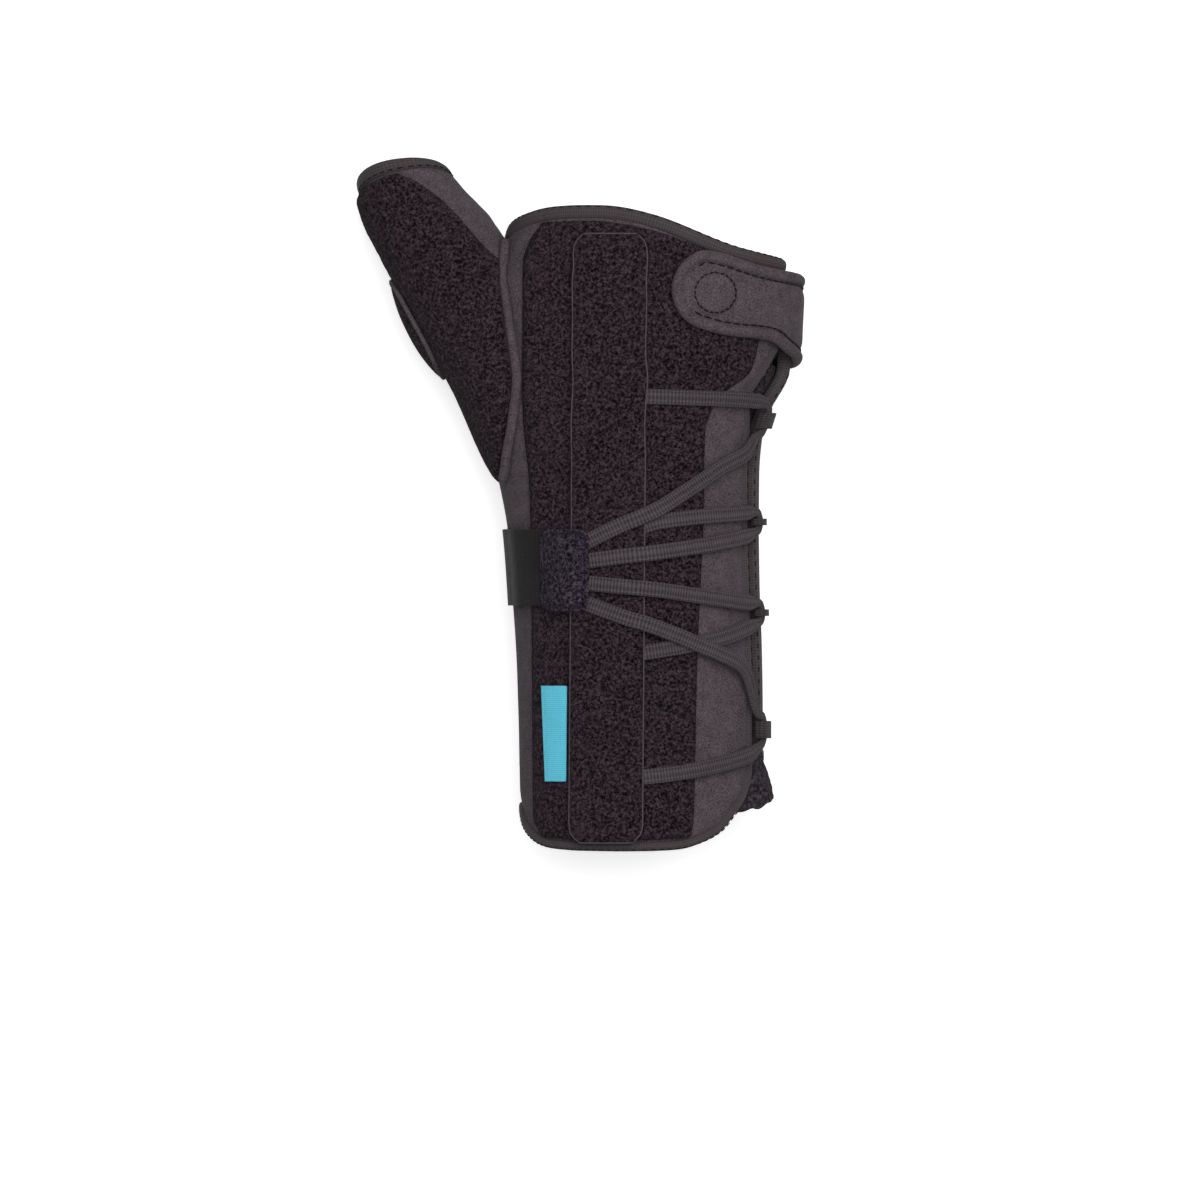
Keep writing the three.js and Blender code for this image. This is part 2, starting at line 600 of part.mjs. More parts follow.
// The hand strap over the little-finger side, and its round stitched patch.
const STRAP_ANGLES = [-42, -26, -12, 0, 12, 23, 29, 34, 41, 50, 58, 65, 71, 75.5, 78.5, 80.2];
const strapLift = (angle) => mix(TAPE + 2 * GAP, LACE_LOW, ramp(angle, 4, 30));
const handStrap = plate(STRAP_ANGLES.length - 1, 4, (u, v, w) => {
  const angle = STRAP_ANGLES[Math.round(u * (STRAP_ANGLES.length - 1))];
  const lift = strapLift(angle) + w * STRAP;
  let low = along(STRAP_SIDES, 'low', 'angle', angle);
  let high = along(STRAP_SIDES, 'high', 'angle', angle);
  const { x } = wrap(angle, STRAP_END.y, lift);
  const reach = STRAP_END.x - x;
  if (angle > 60 && reach > 0) {
    const half = Math.sqrt(Math.max(STRAP_END.radius ** 2 - reach ** 2, STRAP_END.blunt ** 2));
    low = STRAP_END.y - half;
    high = STRAP_END.y + half;
  }
  return wrap(angle, mix(low, high, v), lift);
});
add('hand_strap', handStrap, smoothCloth);

const strapPatch = bend(new THREE.CylinderGeometry(PATCH.radius, PATCH.radius, 1, 20), ({ x, y, z }) => {
  const low = LACE_LOW + STRAP + GAP;
  return onBack(PATCH.x + x, PATCH.y + z, mix(low, low + PATCH.height, y + 0.5));
});
add('strap_patch', strapPatch, smoothCloth);

// The pull tab round the thumb side, and its end piece on the pocket.
const tabLift = (x) => mix(PILE_HIGH + GAP, LACE_HIGH, ramp(x, TAB_END.left, POCKET_FIELD.lowLeft));
const pullTab = plate(9, 2, (u, v, w) => {
  const y = mix(TAB.low, TAB.high, v);
  const start = angleAt(TAB.start, y, PILE_HIGH + GAP);
  const angle = mix(start, TAB.underAngle, u);
  const low = mix(PILE_HIGH + GAP, GAP, ramp(angle, 148, 166));
  return wrap(angle, y, low + w * WEBBING);
});
add('pull_tab', pullTab, blackWebbing);

const tabEnd = (spare) => plate(5, 2, (u, v, w) => {
  const x = mix(TAB_END.left, TAB_END.right + spare, u);
  return onBack(x, mix(TAB_END.low, TAB_END.high, v), tabLift(x) + mix(-spare, TAB_END.thick + spare, w));
});
add('pull_tab_end', tabEnd(0), hookPatch);

const wovenLabel = plate(2, 4, (u, v, w) => {
  const low = PILE_HIGH + GAP;
  return onBack(mix(LABEL.left, LABEL.right, u), mix(LABEL.low, LABEL.high, v), low + w * LABEL.thick);
});
add('woven_label', wovenLabel, blueWeave);

// The laces and the webbing guides that they turn in.
function laceLift(x, angle, number, outward) {
  const low = mix(LACE_TURN, LACE_LOW, ramp(angle, GUIDE_APEX + 6, 38));
  if (!outward) return low;
  const offPocket = ramp(x, POCKET_FIELD.highRight + 1, POCKET_FIELD.highRight + 10);
  const near = 1 - ramp(Math.abs(x - CROSSING.x), CROSSING.level, CROSSING.clear);
  const over = number === CROSSING.lace ? near : 0;
  return mix(LACE_HIGH, low, offPocket) + over * (LACE_THICK + LAYER_GAP);
}

const DEGREE_WIDTH = 0.6; // millimetres on the lace's curve for each degree round the wrap

function lacePath({ out, back, guide, turn }, number) {
  const points = [];
  const put = (angle, y) => points.push(new THREE.Vector3(angle * DEGREE_WIDTH, y, 0));
  for (const [x, y] of out) put(angleAt(x, y, LACE_LOW), y);
  const turnAngle = THREE.MathUtils.radToDeg(turn / TURN_RADIUS);
  const side = Math.sign(out.at(-1)[1] - guide);
  for (const step of [80, 40, 0, -40, -80]) {
    const sweep = degrees(step);
    put(GUIDE_APEX + turnAngle * (1 - Math.cos(sweep)), guide + side * Math.sin(sweep) * turn);
  }
  for (const [x, y] of back.slice().reverse()) put(angleAt(x, y, LACE_LOW), y);
  const curve = new THREE.CatmullRomCurve3(points, false, 'centripetal');
  const apex = (out.length + 2) / (points.length - 1);
  return (t) => {
    const spot = curve.getPoint(t);
    const angle = spot.x / DEGREE_WIDTH;
    const { x } = wrap(angle, spot.y, LACE_LOW);
    return { angle, along: spot.y, lift: laceLift(x, angle, number, t < apex) };
  };
}

const LACE_PINCH = 0.55; // a lace's width where it turns in its guide, as a share of its full width
LACES.forEach((lace, number) => {
  const path = lacePath(lace, number);
  const width = (t) => LACE_WIDTH * mix(LACE_PINCH, 1, ramp(path(t).angle, GUIDE_APEX + 3, 36));
  const whole = ribbon(wrap, path, 36, width, LACE_THICK);
  add(`lace_${number + 1}`, cut(whole, tabEnd(GAP), stayPocket(GAP)), laceKnit);
});

// A guide is a webbing loop sewn to the palm-side edge: two arms joined by a fold inside the lace's turn.
LACES.forEach(({ guide, turn }, number) => {
  const halfLace = (LACE_WIDTH * LACE_PINCH) / 2;
  const foldAt = halfLace + GAP + GUIDE.foldShare * turn;
  const half = Math.sqrt((turn - halfLace) ** 2 - (turn - foldAt) ** 2) - LAYER_GAP;
  const fold = GUIDE_APEX + THREE.MathUtils.radToDeg(foldAt / TURN_RADIUS);
  const foldEnd = fold + THREE.MathUtils.radToDeg(GUIDE.thick / TURN_RADIUS);
  const under = TAPE + LAYER_GAP;
  const over = LACE_TURN + LACE_THICK + GAP;
  const corner = (angle, lift) => ({ angle, lift });
  const arms = [
    ...[GUIDE.tail, GUIDE.foot, GUIDE.shoulder, foldEnd].map((angle) => corner(angle, under)),
    corner(foldEnd, over + GUIDE.thick),
    corner(GUIDE.shoulder + 1, over + GUIDE.thick),
    corner(GUIDE.shoulder - 0.8, over + 0.5 * GUIDE.thick),
    corner(GUIDE.foot, under + 1.5 * GUIDE.thick),
    corner(GUIDE.tail, under + 1.2 * GUIDE.thick),
  ];
  const mouth = [
    corner(GUIDE.foot + 1.8, under + GUIDE.thick),
    corner(GUIDE.shoulder, under + GUIDE.thick),
    corner(fold, under + GUIDE.thick),
    corner(fold, over),
    corner(GUIDE.shoulder + 0.6, over),
  ];
  const block = (corners, reach) => {
    const shape = new THREE.Shape(corners.map(({ angle, lift }) => new THREE.Vector2(angle, lift)));
    const body = new THREE.ExtrudeGeometry(shape, { depth: 1, steps: 1, bevelEnabled: false });
    return bend(body, ({ x, y, z }) => wrap(x, guide + mix(-reach, reach, z), y));
  };
  add(`lace_guide_${number + 1}`, cut(block(arms, half), block(mouth, half + 2)), blackWebbing);
});

// The origin is under the middle of the splint, on the surface that it lies on.
const size = new THREE.Box3().setFromObject(splint);
const middle = size.getCenter(new THREE.Vector3());
splint.position.set(-middle.x, -middle.y, -size.min.z);

export default splint;
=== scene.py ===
# %% [markdown]
# # A thumb spica splint, dressed in its cloth
#
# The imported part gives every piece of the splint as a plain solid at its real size. This lesson puts
# the cloth on it: padded knit, brushed loop pile, binding tape, stitches, flat laces and webbing.
# All of it could be painted on the plain solids, but cloth is judged by its edges and its thickness,
# so each piece is modelled again on the same form, and stands in for its solid.

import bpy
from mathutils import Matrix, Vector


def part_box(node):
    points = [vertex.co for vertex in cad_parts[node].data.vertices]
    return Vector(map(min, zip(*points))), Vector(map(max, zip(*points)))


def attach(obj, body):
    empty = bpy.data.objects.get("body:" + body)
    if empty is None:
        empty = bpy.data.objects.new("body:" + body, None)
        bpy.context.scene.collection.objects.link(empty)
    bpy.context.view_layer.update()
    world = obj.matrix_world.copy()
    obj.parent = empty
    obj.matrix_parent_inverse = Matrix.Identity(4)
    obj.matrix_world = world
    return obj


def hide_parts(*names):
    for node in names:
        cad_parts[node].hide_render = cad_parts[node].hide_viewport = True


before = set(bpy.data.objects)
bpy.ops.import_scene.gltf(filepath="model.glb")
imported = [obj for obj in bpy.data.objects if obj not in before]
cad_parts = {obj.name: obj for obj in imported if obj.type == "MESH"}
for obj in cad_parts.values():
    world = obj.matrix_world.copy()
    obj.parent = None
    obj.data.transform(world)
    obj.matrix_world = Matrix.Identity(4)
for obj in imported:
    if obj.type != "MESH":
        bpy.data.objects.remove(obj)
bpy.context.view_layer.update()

# %% Tools of the lesson
import math
from collections import namedtuple

import bmesh
import bpy
from mathutils import Matrix, Vector, noise
from mathutils.bvhtree import BVHTree

# %% [markdown]
# ## The drawing's own millimetres
#
# The splint was drawn in millimetres from a corner of its own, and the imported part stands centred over
# its origin, in metres. The pull tab's end piece is a plain patch whose left and lower edges are drawn
# sizes, so its box says how far the drawing was moved. Reading it there keeps the cloth on the solids
# if the part is packed again, where a typed offset would not.

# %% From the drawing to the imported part
MM = 0.001
TAB_END_LEFT, TAB_END_LOW = -21.1, 74.6
tab_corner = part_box("pull_tab_end")[0]
DRAWING_ORIGIN = Vector((tab_corner.x - TAB_END_LEFT * MM, tab_corner.y - TAB_END_LOW * MM, 0))
TO_FRAME = Matrix.Translation(DRAWING_ORIGIN) @ Matrix.Scale(MM, 4)
print("drawing's origin, mm:", [round(c / MM, 2) for c in DRAWING_ORIGIN])


# %% Small helpers
def mix(low, high, share):
    return low + (high - low) * share


def ramp(value, low, high):
    share = min(1, max(0, (value - low) / (high - low)))
    return share * share * (3 - 2 * share)


def signed_power(value, power):
    return math.copysign(abs(value) ** power, value)


def along(table, column, place):
    """Reads a column of a table between its rows, on a curve that never overshoots them."""
    keys = [row[0] for row in table]
    values = [getattr(row, column) for row in table]
    if place <= keys[0]:
        return values[0]
    if place >= keys[-1]:
        return values[-1]
    row = next(k for k in range(len(keys) - 1) if place <= keys[k + 1])

    def rise(k):
        return (values[k + 1] - values[k]) / (keys[k + 1] - keys[k])

    def slope(k):
        if k in (0, len(keys) - 1):
            return rise(min(k, len(keys) - 2))
        product = rise(k - 1) * rise(k)
        return 0 if product <= 0 else 2 * product / (rise(k - 1) + rise(k))

    span = keys[row + 1] - keys[row]
    t = (place - keys[row]) / span
    bend = t * (1 - t) * span * ((1 - t) * slope(row) - t * slope(row + 1))
    return mix(values[row], values[row + 1], t * t * (3 - 2 * t)) + bend


# %% [markdown]
# ## The form under the cloth
#
# A wrist splint is soft, but a stay and the foam hold its shape: a flattened tube, wider at the palm.
# It could be sculpted freely. Here the same few section sizes that shaped the solids shape the cloth,
# so that every layer lies a known height above the next, from any side.

# %% Sections of the wrap
Section = namedtuple("Section", "y thumb_side finger_side top bottom")
BODY = [
    Section(0, -27.0, 48.0, 60.0, 0),
    Section(50, -28.0, 48.0, 58.0, 0),
    Section(76, -29.4, 47.3, 56.5, 0),
    Section(100, -31.2, 46.7, 55.0, 0),
    Section(116, -34.2, 46.8, 54.2, 0),
    Section(128, -37.4, 47.8, 53.6, 0),
    Section(138, -39.0, 50.7, 53.2, 0),
    Section(150, -39.5, 56.2, 52.6, 0.4),
    Section(160, -39.4, 56.6, 52.0, 1.2),
    Section(175, -38.0, 57.2, 51.0, 2.8),
    Section(190, -31.8, 56.9, 49.6, 4.4),
    Section(204, -29.0, 56.8, 48.4, 6.0),
]
BACK_ROUNDNESS = 2.2
PALM_ROUNDNESS = 3.2
WIDEST_LEVEL = 0.48
FLATTENED = 1.5
TURN_RADIUS = 31


def wrap(angle, y, lift=0.0):
    """A point on the wrap's outer face. Angles in degrees: 0 little-finger side, 90 back, 270 palm."""
    thumb_side = along(BODY, "thumb_side", y)
    finger_side = along(BODY, "finger_side", y)
    top = along(BODY, "top", y)
    bottom = along(BODY, "bottom", y)
    level = mix(bottom, top, WIDEST_LEVEL)
    cosine = math.cos(math.radians(angle))
    sine = math.sin(math.radians(angle))
    on_back = sine >= 0
    power = 2 / (BACK_ROUNDNESS if on_back else PALM_ROUNDNESS)
    half = (finger_side - thumb_side) / 2 + lift
    rise = (top - level if on_back else level - bottom + FLATTENED) + lift
    x = (thumb_side + finger_side) / 2 + half * signed_power(cosine, power)
    z = level + rise * signed_power(sine, power)
    return Vector((x, y, max(z, bottom + max(0, -lift))))


def angle_at(x, y, lift=0.0):
    """The angle on the back at which the wrap, seen from above, lies at x."""
    thumb_side = along(BODY, "thumb_side", y)
    finger_side = along(BODY, "finger_side", y)
    share = (x - (thumb_side + finger_side) / 2) / ((finger_side - thumb_side) / 2 + lift)
    share = min(1, max(-1, share))
    return math.degrees(math.acos(signed_power(share, BACK_ROUNDNESS / 2)))


def on_back(x, y, lift=0.0):
    return wrap(angle_at(x, y, lift), y, lift)


# %% Edges of the wrap
Edge = namedtuple("Edge", "angle y")
RIM = [
    Edge(0, 181.4), Edge(20, 183.9), Edge(40, 185.9), Edge(55, 188.0), Edge(65, 190.3),
    Edge(75, 193.2), Edge(85, 196.2), Edge(95, 198.8), Edge(110, 200.4), Edge(130, 200.2),
    Edge(145, 198.8), Edge(160, 196.8), Edge(180, 193.2), Edge(200, 190.0), Edge(225, 185.0),
    Edge(270, 177.0), Edge(315, 174.0), Edge(345, 177.0), Edge(360, 181.4), Edge(380, 183.9),
]
HEM = [
    Edge(22, 33.0), Edge(26, 27.5), Edge(29, 20.8), Edge(33, 16.8), Edge(38, 13.4), Edge(44, 10.5),
    Edge(50, 6.9), Edge(59, 3.8), Edge(73, 1.1), Edge(93, 0.4), Edge(121, 0.6), Edge(132, 1.0),
    Edge(143, 1.8), Edge(156, 4.0), Edge(164, 6.8), Edge(180, 12.5), Edge(200, 11.5), Edge(215, 9.5),
    Edge(240, 6.5), Edge(270, 5.5), Edge(285, 7.5), Edge(300, 11.5), Edge(315, 17.0), Edge(330, 21.5),
    Edge(340, 24.0), Edge(357, 27.5), Edge(368, 30.0), Edge(378, 33.0),
]
LacingEdge = namedtuple("LacingEdge", "y back palm")
LACING_EDGE = [
    LacingEdge(0, 25, 17), LacingEdge(122, 25, 17), LacingEdge(136, 29, 11), LacingEdge(146, 35, 6),
    LacingEdge(153, 31, 3), LacingEdge(159, 20, 1), LacingEdge(168, 14, 0), LacingEdge(190, 12, 0),
]
WALL = 3.4
EDGE_WIDTH = 3.0
RIM_WIDTH = 4.4
TAPE = 0.4
EDGE_INSET = math.degrees(EDGE_WIDTH / 2 / TURN_RADIUS)


def wrap_spot(u, v):
    """The angle and y at shares u round the wrap, from its palm-side lacing edge, and v along it."""
    nominal = mix(6, 188, v)
    palm = 360 + along(LACING_EDGE, "palm", nominal) - EDGE_INSET
    back = along(LACING_EDGE, "back", nominal) + EDGE_INSET
    angle = mix(palm, back, u - 0.45 * math.sin(2 * math.pi * u) / (2 * math.pi))
    low = along(HEM, "y", angle) + EDGE_WIDTH / 2
    high = along(RIM, "y", angle) - RIM_WIDTH / 2
    return angle, mix(low, high, v)


# %% Sections of the thumb tube
ThumbSection = namedtuple("ThumbSection", "share outer_x outer_y web_x web_y middle depth lean")
THUMB = [
    ThumbSection(0, -78.0, 207.8, -49.6, 210.7, 19.5, 13.5, 0.46),
    ThumbSection(0.2, -74.8, 196.3, -45.1, 205.9, 21, 14.2, 0.3),
    ThumbSection(0.4, -68.8, 184.2, -41.3, 202.0, 22.5, 15, 0.22),
    ThumbSection(0.6, -59.9, 167.3, -37.5, 198.2, 24, 16.5, 0.14),
    ThumbSection(0.8, -48.4, 145.6, -34.5, 194.1, 25.5, 18, 0.07),
    ThumbSection(1, -33.2, 116.0, -31.4, 189.6, 27, 18.5, 0),
    ThumbSection(1.3, -16, 114, -16, 186, 27, 16.5, 0),
]
THUMB_ROUNDNESS = 2.2
RIM_SHARE = 0.085


def thumb(angle, share, lift=0.0):
    """A point on the thumb tube's outer face. Angle 0 is its web side and 90 its back."""
    outer = Vector((along(THUMB, "outer_x", share), along(THUMB, "outer_y", share)))
    web = Vector((along(THUMB, "web_x", share), along(THUMB, "web_y", share)))
    across = (web - outer).normalized()
    half = (web - outer).length / 2 + lift
    side = half * signed_power(math.cos(math.radians(angle)), 2 / THUMB_ROUNDNESS)
    rise = along(THUMB, "depth", share) + lift
    height = rise * signed_power(math.sin(math.radians(angle)), 2 / THUMB_ROUNDNESS)
    shift = height * along(THUMB, "lean", share)
    x = (outer.x + web.x) / 2 + across.x * side - across.y * shift
    y = (outer.y + web.y) / 2 + across.y * side + across.x * shift
    return Vector((x, y, along(THUMB, "middle", share) + height))


# %% The seam between thumb and wrap
SeamSpot = namedtuple("SeamSpot", "y x")
SEAM = [
    SeamSpot(115.3, -32.6), SeamSpot(121.8, -31.6), SeamSpot(132.0, -29.8), SeamSpot(145.0, -28.3),
    SeamSpot(158.0, -29.8), SeamSpot(171.7, -31.9), SeamSpot(183.5, -32.5), SeamSpot(189.4, -32.0),
]


SEAM_LEVEL, SEAM_CLEARANCE, DEEPEST_TUCK = 27, 1.7, 14


def tucked(point):
    """Turns cloth of the thumb tube down into the seam, where it would pass over the wrap."""
    past = point.x - (along(SEAM, "x", point.y) - SEAM_CLEARANCE)
    if past <= 0 or point.z < SEAM_LEVEL:
        return point
    drop = min(DEEPEST_TUCK, 2.2 * past + 0.5 * past * past)
    return Vector((point.x, point.y, max(SEAM_LEVEL, point.z - drop)))


print("wrap at its hem, mm:", [round(c, 1) for c in wrap(90, 0)])

# %% [markdown]
# ## Bending cloth onto the form
#
# A sheet of cloth starts flat. In Blender it starts as a grid too, and a small function moves each of
# its corners onto the form: it is given the corner's shares u and v of the grid, and up, a height over
# the piece's face, which tells the grid its outer side. A tape over an edge, a lace or a piping cord is
# such a grid as well, rolled up until its two long sides meet. The map of each piece is laid out at one
# scale, a quarter of a metre to the whole map, so that a weave has the same thread everywhere.

# %% Panels
MAP_SPAN = 250


def cloth_size(place):
    """The width and length of a bent panel, measured along its middles, in millimetres."""
    steps = 24
    rows = [place(k / steps, 0.5, 0) for k in range(steps + 1)]
    columns = [place(0.5, k / steps, 0) for k in range(steps + 1)]
    width = sum((b - a).length for a, b in zip(rows, rows[1:]))
    length = sum((b - a).length for a, b in zip(columns, columns[1:]))
    return width, length


def bent_grid(columns, rows, place):
    """A grid bent by place(u, v, up), with a map in parts of MAP_SPAN, its face turned up."""
    bm = bmesh.new()
    weave = bm.loops.layers.uv.new("weave")
    bmesh.ops.create_grid(bm, x_segments=columns, y_segments=rows, size=0.5)
    width, length = cloth_size(place)
    for face in bm.faces:
        for loop in face.loops:
            u, v = loop.vert.co.x + 0.5, loop.vert.co.y + 0.5
            loop[weave].uv = (u * width / MAP_SPAN, v * length / MAP_SPAN)
    for corner in bm.verts:
        corner.co = place(corner.co.x + 0.5, corner.co.y + 0.5, 0)
    bm.normal_update()
    up = place(0.5, 0.5, 1) - place(0.5, 0.5, 0)
    middle = place(0.5, 0.5, 0)
    nearest = min(bm.faces, key=lambda face: (face.calc_center_median() - middle).length)
    if nearest.normal.dot(up) < 0:
        bmesh.ops.reverse_faces(bm, faces=bm.faces[:])
    return bm


# %% Tapes, cords and laces
def frame_on(form, route, t):
    """Where share t of a route lies on a form, with the ways across it and out of the form there."""
    small = 1e-3
    point = form(*route(t))
    forward = (form(*route(min(t + small, 1))) - form(*route(max(t - small, 0)))).normalized()
    a, b, lift = route(t)
    round_way = form(a + 0.5, b, lift) - form(a - 0.5, b, lift)
    long_way = form(a, b + small, lift) - form(a, b - small, lift)
    out = long_way.cross(round_way).normalized()
    across = forward.cross(out).normalized()
    return point, forward, across, across.cross(forward).normalized()


def bent_tube(rings, sides, form, route, section):
    """A closed tube along a route on a form: section(turn, t) gives its across and out, in mm."""

    def place(u, v, up):
        point, _, across, out = frame_on(form, route, v)
        side, height = section(u * 2 * math.pi, v)
        spot = point + across * side + out * height
        return Vector((spot.x, spot.y, max(spot.z, 0)))

    bm = bent_grid(sides, rings, place)
    bmesh.ops.remove_doubles(bm, verts=bm.verts[:], dist=0.01)
    ends = [edge for edge in bm.edges if edge.is_boundary]
    bmesh.ops.holes_fill(bm, edges=ends, sides=0)
    bmesh.ops.recalc_face_normals(bm, faces=bm.faces[:])
    return bm


def oval(width, thickness, squareness=2.0):
    """The section of a tape or cord: an oval, or squarer where squareness is above 2."""

    def section(turn, _):
        side = signed_power(math.cos(turn), 2 / squareness)
        return width / 2 * side, thickness / 2 * signed_power(math.sin(turn), 2 / squareness)

    return section


def smooth_route(points, closed=False):
    """A route through (a, b) pairs, smooth and even in length: gives (a, b) for shares 0 to 1."""
    spots = [Vector(p) for p in points]
    if closed:
        spots = [spots[-1], *spots, spots[0], spots[1]]
    else:
        spots = [spots[0] * 2 - spots[1], *spots, spots[-1] * 2 - spots[-2]]
    fine = []
    for k in range(1, len(spots) - 2):
        before, start, end, after = spots[k - 1 : k + 3]
        for step in range(12):
            t = step / 12
            pull = (end - before) * 0.5
            leave = (after - start) * 0.5
            bend = start * (2 * t**3 - 3 * t**2 + 1) + end * (3 * t**2 - 2 * t**3)
            fine.append(bend + pull * (t**3 - 2 * t**2 + t) + leave * (t**3 - t**2))
    fine.append(spots[-2])
    reach = [0.0]
    for a, b in zip(fine, fine[1:]):
        reach.append(reach[-1] + (b - a).length)

    def route(t):
        want = t * reach[-1]
        k = next((k for k in range(len(reach) - 1) if want <= reach[k + 1]), len(reach) - 2)
        return fine[k].lerp(fine[k + 1], (want - reach[k]) / max(reach[k + 1] - reach[k], 1e-9))

    return route


# %% From a bmesh to a finished piece
def piece_from(bm, name, *finishes):
    """Makes a named object of a bmesh in the drawing's millimetres, with its finishes."""
    bmesh.ops.transform(bm, matrix=TO_FRAME, verts=bm.verts[:])
    mesh = bpy.data.meshes.new(name)
    bm.to_mesh(mesh)
    bm.free()
    mesh.shade_smooth()
    piece = bpy.data.objects.new(name, mesh)
    bpy.context.scene.collection.objects.link(piece)
    for finish in finishes:
        mesh.materials.append(finish)
    return piece


def thicken(piece, thickness, lining=False):
    """Gives a panel its thickness, inwards from its face, and a lining finish on its inner side."""
    wall = piece.modifiers.new("thickness", "SOLIDIFY")
    wall.thickness = thickness * MM
    wall.offset = -1
    wall.material_offset = 1 if lining else 0


def soften(piece):
    """Rounds a piece as cloth does, by subdivision."""
    rounding = piece.modifiers.new("softness", "SUBSURF")
    rounding.levels = rounding.render_levels = 1


def settle(piece, slot, *nodes):
    """Lets a piece ride on the splint and stand in for its solids, and prints its faces and slot."""
    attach(piece, "root")
    if nodes:
        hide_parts(*nodes)
    print(piece.name, "faces:", len(piece.data.polygons), "slot:", slot)
    return piece


# %% [markdown]
# ## Finishes
#
# The splint is all cloth, near black but for its label: pile, knit, tape and webbing differ in grain more
# than in colour. Photographs of the cloth could be wrapped on, but they blur close up and repeat. Each
# cloth is drawn by nodes instead, and what several of them share, such as loop pile, knit, ribs and lint,
# is a node group that each material sets to its own scale and shades.


# %% Colours
def paint(red, green, blue):
    """A colour as seen on a screen, 0 to 255, as the linear colour that a node takes."""

    def linear(value):
        value /= 255
        return value / 12.92 if value <= 0.04045 else ((value + 0.055) / 1.055) ** 2.4

    return (linear(red), linear(green), linear(blue), 1)


# %% Building node groups
def new_group(name, inputs, outputs):
    """A shader node group with named sockets: inputs and outputs map a name to a kind."""
    group = bpy.data.node_groups.new(name, "ShaderNodeTree")
    kinds = {"value": "NodeSocketFloat", "colour": "NodeSocketColor", "vector": "NodeSocketVector"}
    for direction, sockets in (("INPUT", inputs), ("OUTPUT", outputs)):
        for socket, kind in sockets.items():
            group.interface.new_socket(name=socket, in_out=direction, socket_type=kinds[kind])
    return group, group.nodes.new("NodeGroupInput"), group.nodes.new("NodeGroupOutput")


def add_node(tree, kind, inputs=(), **settings):
    """A node with its settings, and its inputs set to values or linked from sockets, by name."""
    node = tree.nodes.new(kind)
    for setting, value in settings.items():
        setattr(node, setting, value)
    for name, value in dict(inputs).items():
        socket = node.inputs[name]
        if isinstance(value, bpy.types.NodeSocket):
            tree.links.new(value, socket)
        else:
            socket.default_value = value
    return node


def shades(tree, share, stops):
    """A colour ramp over a socket, between two stops: pairs of place and colour."""
    node = add_node(tree, "ShaderNodeValToRGB", {"Fac": share})
    for stop, (place, colour) in zip(node.color_ramp.elements, stops):
        stop.position = place
        stop.color = colour
    return node.outputs["Color"]


def sum_of(tree, first, second, share_first, share_second):
    """A weighted sum of two values."""
    part = add_node(tree, "ShaderNodeMath", {0: first, 1: share_first}, operation="MULTIPLY")
    whole = add_node(
        tree,
        "ShaderNodeMath",
        {0: second, 1: share_second, 2: part.outputs[0]},
        operation="MULTIPLY_ADD",
    )
    return whole.outputs[0]


# %% Loop pile
def make_loop_pile_group():
    """Brushed loops: a share that follows the height of small curled loops, giving their tops a painted
    highlight and the dark hollows between them painted shade; that height is also given as relief.
    """
    group, given, made = new_group(
        "loop pile", {"Place": "vector", "Loops": "value"}, {"Loop": "value", "Height": "value"}
    )
    curls = add_node(
        group,
        "ShaderNodeTexNoise",
        {"Vector": given.outputs["Place"], "Scale": given.outputs["Loops"], "Detail": 2.5,
         "Roughness": 0.62, "Distortion": 0.6},
    )
    tight = add_node(group, "ShaderNodeMath", {0: given.outputs["Loops"], 1: 2.1}, operation="MULTIPLY")
    fibres = add_node(
        group,
        "ShaderNodeTexNoise",
        {"Vector": given.outputs["Place"], "Scale": tight.outputs[0], "Detail": 2.0,
         "Roughness": 0.55, "Distortion": 1.2},
    )
    both = sum_of(group, curls.outputs["Fac"], fibres.outputs["Fac"], 0.62, 0.38)
    spread = add_node(
        group,
        "ShaderNodeMapRange",
        {"Value": both, "From Min": 0.4, "From Max": 0.66},
        interpolation_type="SMOOTHSTEP",
    )
    group.links.new(spread.outputs[0], made.inputs["Loop"])
    group.links.new(both, made.inputs["Height"])
    return group


# %% Knit face
def make_knit_group():
    """A fine jersey face over foam: soft mottling, and a grain of stitches under half a millimetre."""
    group, given, made = new_group(
        "knit face", {"Place": "vector", "Stitches": "value"}, {"Mottle": "value", "Height": "value"}
    )
    grain = add_node(
        group,
        "ShaderNodeTexNoise",
        {"Vector": given.outputs["Place"], "Scale": given.outputs["Stitches"], "Detail": 3.0,
         "Roughness": 0.7},
    )
    clouds = add_node(
        group,
        "ShaderNodeTexNoise",
        {"Vector": given.outputs["Place"], "Scale": 240.0, "Detail": 2.0, "Roughness": 0.5},
    )
    both = sum_of(group, grain.outputs["Fac"], clouds.outputs["Fac"], 0.82, 0.18)
    spread = add_node(group, "ShaderNodeMapRange", {"Value": both, "From Min": 0.3, "From Max": 0.7})
    group.links.new(spread.outputs[0], made.inputs["Mottle"])
    group.links.new(grain.outputs["Fac"], made.inputs["Height"])
    return group


